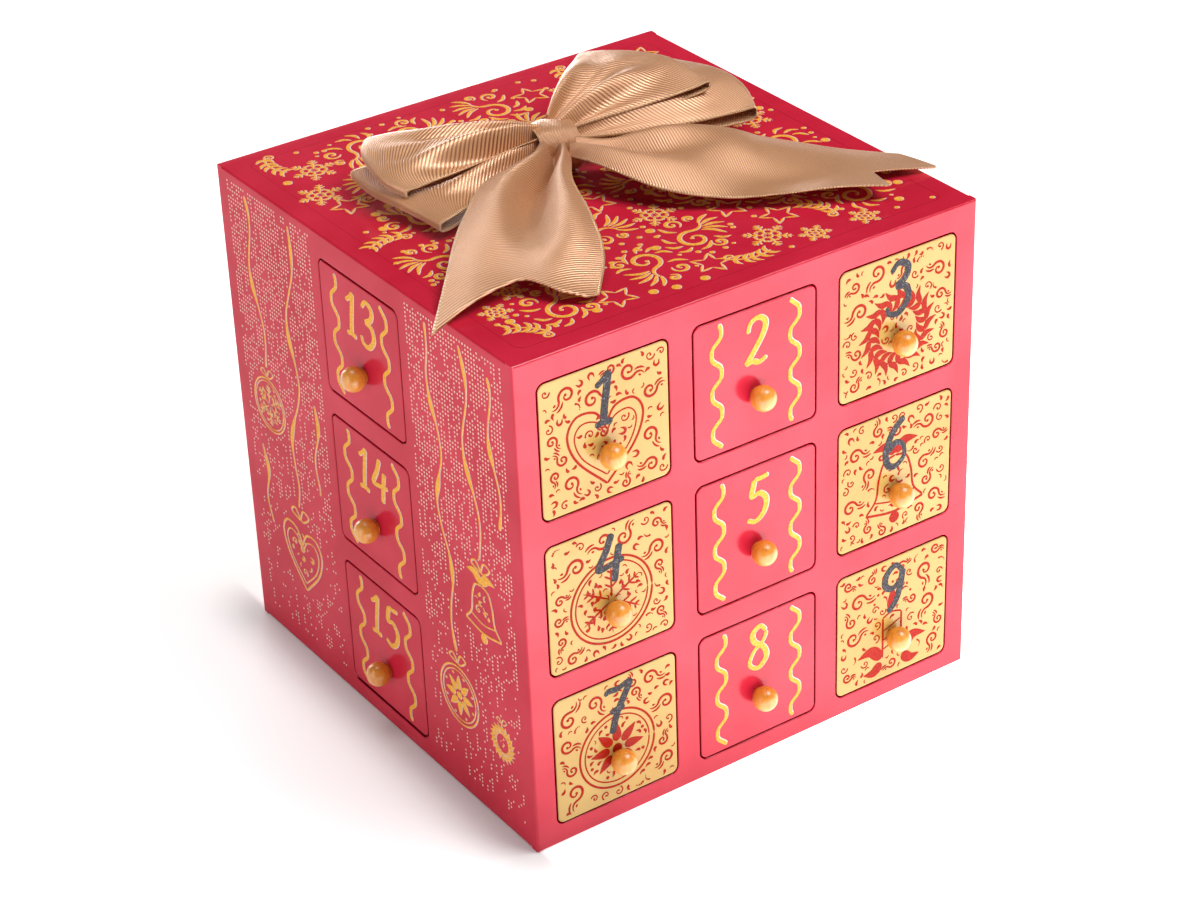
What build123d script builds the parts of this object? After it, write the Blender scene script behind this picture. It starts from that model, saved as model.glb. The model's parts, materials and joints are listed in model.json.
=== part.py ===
# Cube advent calendar of painted boards, with drawers on all four sides and a satin bow on top.
# Millimetres. The origin is the middle of the underside, +Z is up and the front face looks along -Y.
import os
from math import cos, radians, sin

from build123d import *

os.makedirs("parts", exist_ok=True)

# Case sizes
cube_side = 150.0
board = 6.0
face_panel = 3.0
edge_round = 0.7
cells_across = 3
joint_gap = 0.1

# Window sizes: a window is a little narrower and lower than the cell behind it
window_inset = 0.7
window_corner = 2.5

# Drawer sizes
front_board = 3.0
front_gap = 0.4
front_edge_round = 0.4
tray_wall = 2.5
tray_bottom = 2.5
tray_height = 33.0
tray_side_gap = 0.8
running_gap = 0.2
rear_gap = 1.0

# Knob sizes
knob_ball = 7.2
knob_stand_off = 3.2
knob_tenon = 4.0
knob_tenon_gap = 0.05
tenon_chamfer = 0.3
face_knob_drop = 6.0
side_knob_drop = 7.5

# Bow sizes
ribbon_width = 40.0
ribbon = 0.8
ribbon_gap = 0.3
knot_x = -4.0
knot_y = 9.0
wrap_length = 13.0
wrap_width = 18.0
wrap_height = 14.0
wrap_round = 3.0
wrap_turn = -6.0
loop_reach = 50.0
loop_height = 8.0
loop_root = 1.8
gather_width = 11.0
tail_reach = 92.0

# What follows from the sizes above
cell = (cube_side - (cells_across + 1) * board) / cells_across
pitch = cell + board
window = cell - 2 * window_inset
half_side = cube_side / 2
case_half = half_side - board
face_half = half_side - face_panel
core_half = cell / 2
layer_half = core_half + board
layer_depth = face_half - layer_half
case_floor = board
case_ceiling = cube_side - board
case_height = case_ceiling - case_floor
shelf_places = [case_floor + (row + 1) * pitch - board for row in range(cells_across - 1)]
divider_places = [-case_half + (column + 1) * pitch - board / 2 for column in range(cells_across - 1)]
row_floors = [case_floor + row * pitch for row in range(cells_across)]
column_places = [(column - (cells_across - 1) / 2) * pitch for column in range(cells_across)]
window_rise = window / 2
slot = board + 2 * joint_gap


def face_plane(outward, floor_x, floor_y, floor_z):
    # A plane on an outer face, whose local X runs across the face and local Y runs up
    across = {"front": (1, 0, 0), "back": (-1, 0, 0), "left": (0, -1, 0), "right": (0, 1, 0)}[outward]
    normal = {"front": (0, -1, 0), "back": (0, 1, 0), "left": (-1, 0, 0), "right": (1, 0, 0)}[outward]
    return Plane(origin=(floor_x, floor_y, floor_z), x_dir=across, z_dir=normal)


def save(piece, name):
    piece.label = name
    export_step(piece, f"parts/{name}.step")


# Top and bottom panels cap the side panels between the two face panels
with BuildPart() as top_panel:
    with BuildSketch(Plane.XY.offset(case_ceiling)):
        Rectangle(cube_side, 2 * face_half)
    extrude(amount=board)
    fillet(top_panel.faces().sort_by(Axis.Z)[-1].edges().filter_by(Axis.Y), radius=edge_round)
save(top_panel.part, "top_panel")

with BuildPart() as bottom_panel:
    with BuildSketch(Plane.XY):
        Rectangle(cube_side, 2 * face_half)
    extrude(amount=board)
    fillet(bottom_panel.faces().sort_by(Axis.Z)[0].edges().filter_by(Axis.Y), radius=edge_round)
save(bottom_panel.part, "bottom_panel")

# Face panels: full size, with a window for each drawer
window_grid = [(column, floor + window_rise) for column in column_places for floor in row_floors]
for side in ("front", "back"):
    normal_y = -half_side if side == "front" else half_side
    with BuildPart() as face:
        with BuildSketch(face_plane(side, 0, normal_y, 0)):
            with Locations((0, half_side)):
                Rectangle(cube_side, cube_side)
            with Locations(*window_grid):
                RectangleRounded(window, window, window_corner, mode=Mode.SUBTRACT)
        extrude(amount=-face_panel)
        outer_face = face.faces().filter_by(Axis.Y).sort_by(Axis.Y)[0 if side == "front" else -1]
        fillet(outer_face.outer_wire().edges(), radius=edge_round)
    save(face.part, f"{side}_face_panel")

# Side panels: one column of windows each, in line with the core
side_grid = [(0, floor + window_rise) for floor in row_floors]
for side in ("left", "right"):
    normal_x = -half_side if side == "left" else half_side
    with BuildPart() as panel:
        with BuildSketch(face_plane(side, normal_x, 0, 0)):
            with Locations((0, half_side)):
                Rectangle(2 * face_half, case_height)
            with Locations(*side_grid):
                RectangleRounded(window, window, window_corner, mode=Mode.SUBTRACT)
        extrude(amount=-board)
    save(panel.part, f"{side}_side_panel")

# Layer partitions part the front cells, the core and the back cells
with BuildPart() as layer_partitions:
    with BuildSketch(Plane.XY.offset(case_floor)):
        with Locations((0, -core_half - board / 2), (0, core_half + board / 2)):
            Rectangle(2 * case_half, board)
    extrude(amount=case_height)
save(layer_partitions.part, "layer_partitions")

# Upright dividers: slotted from the partition side, half as deep as the layer
layer_middles = [-(layer_half + layer_depth / 2), layer_half + layer_depth / 2]
with BuildPart() as cell_dividers:
    with BuildSketch(Plane.XY.offset(case_floor)):
        with Locations(*[(x, y) for x in divider_places for y in layer_middles]):
            Rectangle(board, layer_depth)
    extrude(amount=case_height)
    for shelf_z in shelf_places:
        with BuildSketch(Plane.XY.offset(shelf_z - joint_gap)):
            with Locations(*[(x, 0) for x in divider_places]):
                Rectangle(slot, 2 * layer_half + layer_depth)
        extrude(amount=slot, mode=Mode.SUBTRACT)
save(cell_dividers.part, "cell_dividers")

# Shelves: slotted from the face side, to take the dividers
with BuildPart() as cell_shelves:
    for shelf_z in shelf_places:
        with BuildSketch(Plane.XY.offset(shelf_z)):
            with Locations(*[(0, y) for y in layer_middles]):
                Rectangle(2 * case_half, layer_depth)
            with Locations(*[(x, y) for x in divider_places for y in (-face_half, face_half)]):
                Rectangle(slot, layer_depth + 2 * joint_gap, mode=Mode.SUBTRACT)
        extrude(amount=board)
save(cell_shelves.part, "cell_shelves")

# Core crate: two shelves cross-halved on one divider behind the side drawers
with BuildPart() as core_shelves:
    for shelf_z in shelf_places:
        with BuildSketch(Plane.XY.offset(shelf_z)):
            Rectangle(2 * case_half, 2 * core_half)
            with Locations((0, -core_half)):
                Rectangle(slot, 2 * core_half + 2 * joint_gap, mode=Mode.SUBTRACT)
        extrude(amount=board)
with BuildPart() as core_divider:
    with BuildSketch(Plane.XY.offset(case_floor)):
        Rectangle(board, 2 * core_half)
    extrude(amount=case_height)
    for shelf_z in shelf_places:
        with BuildSketch(Plane.XY.offset(shelf_z - joint_gap)):
            with Locations((0, core_half)):
                Rectangle(slot, 2 * core_half)
        extrude(amount=slot, mode=Mode.SUBTRACT)
save(Compound(children=[*core_shelves.part.solids(), *core_divider.part.solids()]), "core_crate")

# Drawer boards, made in the drawer's own frame: the middle of its window on the outer face, local Z out
front_side = window - 2 * front_gap
tray_width = window - 2 * tray_side_gap
tray_floor = running_gap - window_rise
face_tray = face_half - layer_half - rear_gap + face_panel - front_board
side_tray = half_side - front_board - board / 2 - rear_gap
tray_corner = window_corner - running_gap


def drawer_boards(tray_length, knob_drop):
    with BuildPart() as front:
        with BuildSketch():
            RectangleRounded(front_side, front_side, window_corner - front_gap)
            with Locations((0, -knob_drop)):
                Circle(knob_tenon / 2 + knob_tenon_gap, mode=Mode.SUBTRACT)
        extrude(amount=-front_board)
        fillet(front.faces().sort_by(Axis.Z)[-1].outer_wire().edges(), radius=front_edge_round)
    boards = [front.part]
    for edge in (-1, 1):
        outer = edge * tray_width / 2
        with BuildPart() as wall:
            with BuildSketch(Plane.XY.offset(-front_board)):
                with Locations((outer - edge * tray_wall / 2, tray_floor + tray_height / 2)):
                    Rectangle(tray_wall, tray_height)
            extrude(amount=-tray_length)
            low_edges = wall.edges().filter_by(Axis.Z).group_by(Axis.Y)[0]
            fillet(low_edges.sort_by(Axis.X)[0 if edge < 0 else -1], radius=tray_corner)
        boards.append(wall.part)
    inner_width = tray_width - 2 * tray_wall
    with BuildPart() as base:
        with BuildSketch(Plane.XY.offset(-front_board)):
            with Locations((0, tray_floor + tray_bottom / 2)):
                Rectangle(inner_width, tray_bottom)
        extrude(amount=-tray_length)
    boards.append(base.part)
    with BuildPart() as rear:
        with BuildSketch(Plane.XY.offset(-front_board - tray_length + tray_wall)):
            with Locations((0, tray_floor + (tray_bottom + tray_height) / 2)):
                Rectangle(inner_width, tray_height - tray_bottom)
        extrude(amount=-tray_wall)
    boards.append(rear.part)
    return boards


# Knob: a turned ball that ends in a tenon, about the drawer's own Z
with BuildPart() as knob:
    with Locations((0, 0, knob_stand_off)):
        Sphere(knob_ball / 2)
    with BuildSketch(Plane.XY.offset(-front_board)):
        Circle(knob_tenon / 2)
    extrude(amount=front_board + knob_stand_off)
    chamfer(knob.faces().sort_by(Axis.Z)[0].edges(), length=tenon_chamfer)

# Drawers: the numbers run in rows on the front, down the right side, down the left side and over the back
face_boards = drawer_boards(face_tray, face_knob_drop)
side_boards = drawer_boards(side_tray, side_knob_drop)
top_down = list(reversed(row_floors))
drawer_places = [("front", (x, -half_side, floor + window_rise)) for floor in top_down for x in column_places]
drawer_places += [("right", (half_side, 0, floor + window_rise)) for floor in top_down]
drawer_places += [("left", (-half_side, 0, floor + window_rise)) for floor in top_down]
drawer_places += [("back", (-x, half_side, floor + window_rise)) for floor in top_down for x in column_places]
for number, (side, middle) in enumerate(drawer_places, start=1):
    on_face = side in ("front", "back")
    drawer_frame = face_plane(side, *middle)
    knob_frame = drawer_frame.offset(0)
    knob_frame.origin = drawer_frame.from_local_coords((0, -face_knob_drop if on_face else -side_knob_drop, 0))
    boards = [drawer_frame.location * piece for piece in (face_boards if on_face else side_boards)]
    save(Compound(children=boards), f"drawer_{number:02d}_box")
    save(knob_frame.location * knob.part, f"drawer_{number:02d}_knob")

# Bow wrap: a soft band with a flat seat, round the gathered middle of the ribbon
knot_seat = Plane(origin=(knot_x, knot_y, cube_side), z_dir=(0, 0, 1))
with BuildPart() as bow_wrap:
    with BuildSketch(knot_seat.rotated((0, 0, wrap_turn))):
        Rectangle(wrap_length, wrap_width)
    extrude(amount=wrap_height)
    fillet(bow_wrap.faces().sort_by(Axis.Z)[-1].edges(), radius=wrap_round)
save(bow_wrap.part, "bow_wrap")


# Loops: direction in degrees, reach as a share of the loop reach, lift as a share of the loop height
loop_shares = {
    "left_lower": (183.0, 1.02, 0.0),
    "left_upper": (165.0, 0.94, 1.0),
    "right_lower": (2.0, 1.06, 0.4),
    "right_upper": (23.0, 0.84, 1.4),
}


def drop_outline(root, reach, lift, inset):
    # A drop shape seen from the side: a round fold at the far end, drawn in to the wrap
    fold = loop_height / 2
    root_rise = min(lift + fold, wrap_height - loop_root)
    with BuildSketch() as outline:
        with Locations((reach - fold, lift + fold)):
            Circle(fold - inset)
        with Locations((root + loop_root, root_rise)):
            Circle(loop_root - inset)
        make_hull()
    return outline.sketch


loops = []
for direction, reach_share, lift_share in loop_shares.values():
    reach = reach_share * loop_reach
    lift = ribbon_gap + lift_share * (loop_height + ribbon_gap)
    skew = radians(direction - wrap_turn)
    root = (wrap_length + gather_width * abs(sin(skew))) / (2 * abs(cos(skew))) + ribbon_gap
    plan = knot_seat.rotated((0, 0, direction))
    upright = Plane(origin=plan.origin, x_dir=plan.x_dir, z_dir=-plan.y_dir)
    outside = drop_outline(root, reach, lift, 0)
    inside = drop_outline(root, reach, lift, ribbon)
    with BuildPart() as loop:
        with BuildSketch(upright):
            add(outside)
            add(inside, mode=Mode.SUBTRACT)
        extrude(amount=ribbon_width / 2, both=True)
        with BuildSketch(plan):
            with BuildLine():
                gather_edge = Line((root, gather_width / 2), (root, -gather_width / 2))
                fold_edge = Line((reach, -ribbon_width / 2), (reach, ribbon_width / 2))
                Line(gather_edge @ 1, fold_edge @ 0)
                Line(fold_edge @ 1, gather_edge @ 0)
            make_face()
        extrude(amount=lift + loop_height + wrap_height, mode=Mode.INTERSECT)
    loops += loop.part.solids()

# Tails: direction, then sections across the ribbon from the gather to the tips. A section has its
# place as a share of the tail's reach, its two edges as shares of the ribbon's width to each side,
# the rise of each edge as a share of the wrap's height, and its crown as a share of the wrap's height.
tail_shares = {
    "front_tail": (
        228.4,
        [
            (None, -0.14, 0.66, 0.08, 0.68, -0.06),
            (0.32, -0.39, 0.78, 0.21, 0.78, -0.22),
            (0.49, -0.47, 0.62, 0.39, 0.62, -0.10),
            (0.65, -0.49, 0.46, 0.50, 0.36, 0.06),
            (0.83, -0.49, 0.24, 0.50, 0.08, 0.07),
            (1.02, -0.50, 0.08, 0.50, 0.08, 0.04),
        ],
        [(1.00, -0.50), (0.79, 0.05), (0.83, 0.35), (0.79, 0.50)],
    ),
    "right_tail": (
        321.0,
        [
            (None, -0.38, 0.72, -0.08, 0.74, 0.05),
            (0.33, -0.55, 0.52, 0.20, 0.58, 0.14),
            (0.52, -0.55, 0.30, 0.35, 0.42, 0.18),
            (0.67, -0.52, 0.28, 0.30, 0.26, 0.14),
            (0.85, -0.43, 0.28, 0.26, 0.15, 0.10),
            (1.12, -0.36, 0.20, 0.22, 0.08, 0.04),
        ],
        [(0.95, -0.40), (0.93, -0.08), (1.11, 0.04), (1.09, 0.22)],
    ),
}


def ribbon_section(plane, low_edge, high_edge, crown):
    # A thin strip across the ribbon, bowed up or down between its two edges
    middle = (low_edge + high_edge) / 2 + Vector(0, crown)
    under = Vector(0, -ribbon)
    with BuildSketch(plane) as section:
        with BuildLine():
            upper = ThreePointArc(low_edge, middle, high_edge)
            lower = ThreePointArc(high_edge + under, middle + under, low_edge + under)
            Line(upper @ 1, lower @ 0)
            Line(lower @ 1, upper @ 0)
        make_face()
    return section.sketch


tails = []
for direction, section_shares, end_shares in tail_shares.values():
    skew = radians(direction - wrap_turn)
    root = wrap_length / 2 * abs(cos(skew)) + wrap_width / 2 * abs(sin(skew)) + ribbon_gap
    plan = knot_seat.rotated((0, 0, direction))
    across = Plane(origin=plan.origin, x_dir=plan.y_dir, z_dir=plan.x_dir)
    sections = []
    for along_share, low_share, low_rise_share, high_share, high_rise_share, crown_share in section_shares:
        along = root if along_share is None else along_share * tail_reach
        low_edge = Vector(low_share * ribbon_width, ribbon + low_rise_share * wrap_height)
        high_edge = Vector(high_share * ribbon_width, ribbon + high_rise_share * wrap_height)
        sections.append(ribbon_section(across.offset(along), low_edge, high_edge, crown_share * wrap_height))
    end_points = [(along * tail_reach, side * ribbon_width) for along, side in end_shares]
    far = 2 * tail_reach
    with BuildPart() as tail:
        loft(sections)
        with BuildSketch(plan):
            with BuildLine():
                cut = Polyline((end_points[0][0], -ribbon_width), *end_points, (end_points[-1][0], ribbon_width))
                Polyline(cut @ 1, (far, ribbon_width), (far, -ribbon_width), cut @ 0)
            make_face()
        extrude(amount=wrap_height, both=True, mode=Mode.SUBTRACT)
    tails += tail.part.solids()
save(Compound(children=[*loops, *tails]), "ribbon_bow")
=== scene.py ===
import json
import math
import random

import bmesh
import bpy
import numpy as np
from mathutils import Matrix, Vector

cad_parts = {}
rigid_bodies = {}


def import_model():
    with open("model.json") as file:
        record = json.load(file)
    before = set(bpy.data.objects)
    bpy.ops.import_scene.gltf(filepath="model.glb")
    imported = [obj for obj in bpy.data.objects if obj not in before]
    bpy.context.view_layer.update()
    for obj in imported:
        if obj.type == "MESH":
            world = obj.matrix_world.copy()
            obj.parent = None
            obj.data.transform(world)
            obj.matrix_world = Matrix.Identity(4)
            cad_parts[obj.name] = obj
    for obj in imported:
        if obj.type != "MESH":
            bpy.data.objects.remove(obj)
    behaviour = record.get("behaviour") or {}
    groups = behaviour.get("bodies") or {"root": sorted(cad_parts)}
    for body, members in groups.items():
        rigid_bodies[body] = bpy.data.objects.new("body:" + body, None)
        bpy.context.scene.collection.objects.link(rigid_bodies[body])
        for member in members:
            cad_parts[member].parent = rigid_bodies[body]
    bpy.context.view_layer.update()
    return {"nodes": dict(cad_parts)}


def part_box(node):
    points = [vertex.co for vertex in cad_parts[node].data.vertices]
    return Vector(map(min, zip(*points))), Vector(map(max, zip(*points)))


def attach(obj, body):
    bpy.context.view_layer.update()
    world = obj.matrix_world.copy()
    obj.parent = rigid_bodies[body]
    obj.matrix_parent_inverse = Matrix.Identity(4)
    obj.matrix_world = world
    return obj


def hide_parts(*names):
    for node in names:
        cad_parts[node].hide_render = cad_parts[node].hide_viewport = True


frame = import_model()
mm = 0.001
fullTurn = 2 * math.pi

# Sizes of the case in millimetres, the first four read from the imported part
faceLow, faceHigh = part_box("front_face_panel")
topLow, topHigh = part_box("top_panel")
sideLow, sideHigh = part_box("left_side_panel")
case = {
    "side": (faceHigh.x - faceLow.x) / mm,
    "top": topHigh.z / mm,
    "board": (topHigh.z - topLow.z) / mm,
    "facePanel": (faceHigh.y - faceLow.y) / mm,
    "window": 40.6,
    "windowCorner": 2.5,
    "running": 0.2,  # clearance under a drawer
    "edgeRound": 0.7,
    "windowRound": 0.45,
    "sharpCorner": 0.05,
    "roundSteps": 3,
    "cornerSteps": 6,
    "revealInset": 3.0,
}
halfSide = case["side"] / 2

# A face of the cube: a point of its plane, then which way runs across, up and out
faces = {
    "front": ((0, -halfSide, 0), (1, 0, 0), (0, 0, 1), (0, -1, 0)),
    "back": ((0, halfSide, 0), (-1, 0, 0), (0, 0, 1), (0, 1, 0)),
    "left": ((-halfSide, 0, 0), (0, -1, 0), (0, 0, 1), (-1, 0, 0)),
    "right": ((halfSide, 0, 0), (0, 1, 0), (0, 0, 1), (1, 0, 0)),
    "top": ((0, 0, case["top"]), (1, 0, 0), (0, 1, 0), (0, 0, 1)),
    "bottom": ((0, 0, 0), (-1, 0, 0), (0, 1, 0), (0, 0, -1)),
}
faces = {name: [Vector(way) for way in ways] for name, ways in faces.items()}
print("frame loaded:", len(frame["nodes"]), "nodes")


def link(name, data):
    made = bpy.data.objects.new(name, data)
    bpy.context.scene.collection.objects.link(made)
    return made


# Camera, fitted to the corners of the cube in the 1200 by 900 picture
cameraFit = {
    "place": (-0.41852, -0.62458, 0.50911),
    "azimuth": 33.8496,
    "elevation": 30.6216,
    "roll": -2.2012,
    "lens": 90.804,
    "sensor": 36.0,
}


def makeCamera():
    data = bpy.data.cameras.new("camera")
    data.lens = cameraFit["lens"]
    data.sensor_width = cameraFit["sensor"]
    matrix = Matrix.Translation(cameraFit["place"])
    turns = ((-cameraFit["azimuth"], "Z"), (90 - cameraFit["elevation"], "X"), (cameraFit["roll"], "Z"))
    for angle, axis in turns:
        matrix = matrix @ Matrix.Rotation(math.radians(angle), 4, axis)
    camera = link("camera", data)
    camera.matrix_world = matrix
    bpy.context.scene.camera = camera


makeCamera()


# Shader maths: a wired socket that takes part in plain Python sums
class Wire:
    def __init__(self, graph, socket):
        self.graph = graph
        self.socket = socket

    def __add__(self, other):
        return self.graph.maths("ADD", self, other)

    def __radd__(self, other):
        return self.graph.maths("ADD", other, self)

    def __sub__(self, other):
        return self.graph.maths("SUBTRACT", self, other)

    def __rsub__(self, other):
        return self.graph.maths("SUBTRACT", other, self)

    def __mul__(self, other):
        return self.graph.maths("MULTIPLY", self, other)

    def __rmul__(self, other):
        return self.graph.maths("MULTIPLY", other, self)

    def __truediv__(self, other):
        return self.graph.maths("DIVIDE", self, other)

    def __rtruediv__(self, other):
        return self.graph.maths("DIVIDE", other, self)


class Graph:
    def __init__(self, tree):
        self.tree = tree

    def plug(self, socket, value):
        if isinstance(value, Wire):
            self.tree.links.new(value.socket, socket)
        elif socket.type == "RGBA" and len(value) == 3:
            socket.default_value = (*value, 1)
        else:
            socket.default_value = value

    def add(self, kind, settings=None, inputs=None, out=0):
        node = self.tree.nodes.new(kind)
        for key, value in (settings or {}).items():
            setattr(node, key, value)
        for key, value in (inputs or {}).items():
            self.plug(node.inputs[key], value)
        return Wire(self, node.outputs[out]) if node.outputs else None

    def maths(self, operation, first, second=0.0):
        return self.add("ShaderNodeMath", {"operation": operation}, {0: first, 1: second})

    def part(self, vector, axis):
        return self.add("ShaderNodeSeparateXYZ", None, {0: vector}, axis)

    def noise(self, place, scale, detail=3.0, rough=0.55):
        inputs = {"Vector": place, "Scale": scale, "Detail": detail, "Roughness": rough}
        return self.add("ShaderNodeTexNoise", {"noise_dimensions": "3D"}, inputs)

    def span(self, value, low, high, first=0.0, last=1.0):
        inputs = {0: value, 1: low, 2: high, 3: first, 4: last}
        return self.add("ShaderNodeMapRange", {"interpolation_type": "SMOOTHSTEP"}, inputs)


class Finish(Graph):
    def __init__(self, name):
        self.material = bpy.data.materials.new(name)
        self.material.use_nodes = True
        super().__init__(self.material.node_tree)
        self.tree.nodes.clear()
        out = self.tree.nodes.new("ShaderNodeOutputMaterial")
        self.surface = self.tree.nodes.new("ShaderNodeBsdfPrincipled")
        self.tree.links.new(self.surface.outputs[0], out.inputs[0])
        self.place = self.add("ShaderNodeTexCoord", None, None, "Object")

    def set(self, **values):
        for key, value in values.items():
            self.plug(self.surface.inputs[key.replace("_", " ")], value)

    def stretched(self, scale):
        return self.add("ShaderNodeMapping", None, {"Vector": self.place, "Scale": scale})

    def voronoi(self, scale, out="Distance"):
        inputs = {"Vector": self.place, "Scale": scale}
        return self.add("ShaderNodeTexVoronoi", {"feature": "F1"}, inputs, out)

    def blend(self, share, first, second):
        return self.add("ShaderNodeMix", {"data_type": "RGBA"}, {0: share, 6: first, 7: second}, 2)

    def bump(self, height, distance, strength=1.0):
        inputs = {"Height": height, "Distance": distance * mm, "Strength": strength}
        return self.add("ShaderNodeBump", None, inputs, "Normal")


def fromBytes(red, green, blue):
    # sRGB bytes as linear light
    shares = [byte / 255 for byte in (red, green, blue)]
    return tuple(s / 12.92 if s <= 0.04045 else ((s + 0.055) / 1.055) ** 2.4 for s in shares)


# Finishes
def paintFinish(name, base, deep, pale):
    paint = Finish(name)
    cloud = paint.noise(paint.place, 38, 4)
    fine = paint.noise(paint.place, 900, 2)
    specks = paint.span(paint.noise(paint.place, 2600, 1), 0.68, 0.8)
    colour = paint.blend(paint.span(cloud, 0.3, 0.72), deep, base)
    colour = paint.blend(specks * 0.25, colour, pale)
    paint.set(Base_Color=colour, Roughness=paint.span(fine, 0.25, 0.75, 0.40, 0.52), Specular_IOR_Level=0.0)
    paint.set(Coat_Weight=paint.span(cloud, 0.2, 0.8, 0.27, 0.33), Coat_Roughness=0.16, Coat_IOR=2.0)
    skin = paint.noise(paint.place, 420, 2) * 0.6 + fine * 0.3 + paint.voronoi(1500) * 0.12
    paint.set(Normal=paint.bump(skin, 0.06, 0.5))
    return paint.material


def boardFinish(name, light, dark):
    bare = Finish(name)
    fibre = bare.noise(bare.stretched((1.0, 1.0, 0.35)), 1400, 5, 0.7)
    blotch = bare.noise(bare.place, 60, 3)
    colour = bare.blend(bare.span(fibre, 0.3, 0.7), dark, light)
    colour = bare.blend(bare.span(blotch, 0.45, 0.8) * 0.35, colour, dark)
    bare.set(Base_Color=colour, Roughness=bare.span(fibre, 0.2, 0.8, 0.72, 0.9))
    bare.set(Normal=bare.bump(fibre, 0.08, 0.6))
    return bare.material


def grainFinish(name, light, dark, stretch):
    wood = Finish(name)
    grain = wood.stretched(stretch)
    fine = wood.noise(grain, 1500, 4, 0.65)
    band = wood.span(wood.maths("FRACT", wood.noise(grain, 120, 3) * 9.0), 0.0, 0.9)
    colour = wood.blend(band * 0.55 + fine * 0.35, light, dark)
    wood.set(Base_Color=colour, Roughness=wood.span(fine, 0.2, 0.8, 0.55, 0.72))
    wood.set(Normal=wood.bump(fine * 0.7 + band * 0.3, 0.06, 0.5))
    return wood.material


def knobFinish(name, dark, light, pale):
    varnish = Finish(name)
    grain = varnish.noise(varnish.stretched((1.0, 1.0, 0.25)), 900, 4, 0.6)
    cloud = varnish.noise(varnish.place, 90, 2)
    colour = varnish.blend(varnish.span(grain, 0.32, 0.7), dark, light)
    colour = varnish.blend(varnish.span(cloud, 0.4, 0.75) * 0.4, colour, pale)
    varnish.set(Base_Color=colour, Roughness=varnish.span(grain, 0.2, 0.8, 0.34, 0.46))
    varnish.set(Coat_Weight=0.7, Coat_Roughness=0.17, Coat_IOR=1.5)
    varnish.set(Normal=varnish.bump(grain, 0.05, 0.35))
    return varnish.material


def inkFinish(name, base, pale, rough):
    printed = Finish(name)
    mottle = printed.noise(printed.place, 1800, 3, 0.6)
    colour = printed.blend(printed.span(mottle, 0.35, 0.75), base, pale)
    printed.set(Base_Color=colour, Roughness=printed.span(mottle, 0.2, 0.8, rough, rough + 0.15))
    printed.set(Specular_IOR_Level=0.0, Coat_Weight=0.2, Coat_Roughness=0.25)
    printed.set(Normal=printed.bump(mottle, 0.03, 0.5))
    return printed.material


def glitterFinish(name, dark, grey, bright):
    glitter = Finish(name)
    flake = glitter.add("ShaderNodeSeparateColor", None, {0: glitter.voronoi(3600, "Color")})
    spark = glitter.span(flake, 0.86, 0.95)
    colour = glitter.blend(spark * 0.3, glitter.blend(flake, dark, grey), bright)
    glitter.set(Base_Color=colour, Roughness=glitter.span(flake, 0.0, 1.0, 0.6, 0.42), Metallic=spark * 0.4)
    glitter.set(Specular_IOR_Level=0.15, Normal=glitter.bump(flake, 0.03, 0.5))
    return glitter.material


# The weave of the ribbon in millimetres: twill lines that slant over threads, and a ribbed selvage
weave = {"twill": 0.86, "slant": 0.55, "thread": 0.24, "rib": 0.8, "selvage": (19.0, 19.2)}


def satinFinish(name, dark, light, cloudy, pale):
    satin = Finish(name)
    spot = satin.add("ShaderNodeUVMap", {"uv_map": "weave"}, None, "UV")
    across, along = satin.part(spot, "X"), satin.part(spot, "Y")

    def ripple(value, pitch):
        return satin.maths("SINE", value * (fullTurn / pitch)) * 0.5 + 0.5

    line = ripple(across * weave["slant"] + along, weave["twill"])
    threads = ripple(across, weave["thread"])
    rib = ripple(along, weave["rib"])
    selvage = satin.span(satin.maths("ABSOLUTE", across), *weave["selvage"])
    cloud = satin.span(satin.noise(satin.place, 55, 3), 0.35, 0.75)
    # The twill is a real weave, but its swing from the dark to the light colour is painted sheen; the pale
    # ribs on the selvage are painted highlights on its stitches
    colour = satin.blend(cloud * 0.25, satin.blend(line, dark, light), cloudy)
    colour = satin.blend(selvage * rib * 0.8, colour, pale)
    height = line * (1 - selvage) * 0.8 + threads * 0.1 + selvage * (rib * 1.4 + 0.4)
    satin.set(Base_Color=colour, Roughness=satin.span(line, 0.0, 1.0, 0.38, 0.26))
    satin.set(Specular_IOR_Level=1.0, Metallic=0.28, Sheen_Weight=0.12, Sheen_Roughness=0.35)
    satin.set(Anisotropic=0.4, Normal=satin.bump(height, 0.15, 0.75))
    return satin.material


redPaint = paintFinish("redPaint", (0.58, 0.017, 0.045), (0.50, 0.011, 0.032), (0.70, 0.05, 0.07))
yellowPaint = paintFinish("yellowPaint", (0.53, 0.335, 0.10), (0.49, 0.29, 0.075), (0.64, 0.48, 0.24))
bareBoard = boardFinish("bareBoard", fromBytes(206, 170, 128), fromBytes(166, 124, 84))
trayColours = (fromBytes(226, 196, 152), fromBytes(200, 162, 114))
trayWood = grainFinish("trayWood", *trayColours, (1.0, 0.12, 1.0))
sideTrayWood = grainFinish("sideTrayWood", *trayColours, (0.12, 1.0, 1.0))
knobVarnish = knobFinish("knobVarnish", fromBytes(208, 124, 30), fromBytes(228, 150, 48),
                         fromBytes(236, 172, 76))
goldInk = inkFinish("goldInk", fromBytes(222, 150, 40), fromBytes(246, 196, 96), 0.35)
paleInk = inkFinish("paleInk", fromBytes(214, 190, 196), fromBytes(240, 226, 222), 0.4)
brickInk = inkFinish("brickInk", fromBytes(150, 24, 14), fromBytes(176, 44, 26), 0.45)
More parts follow.
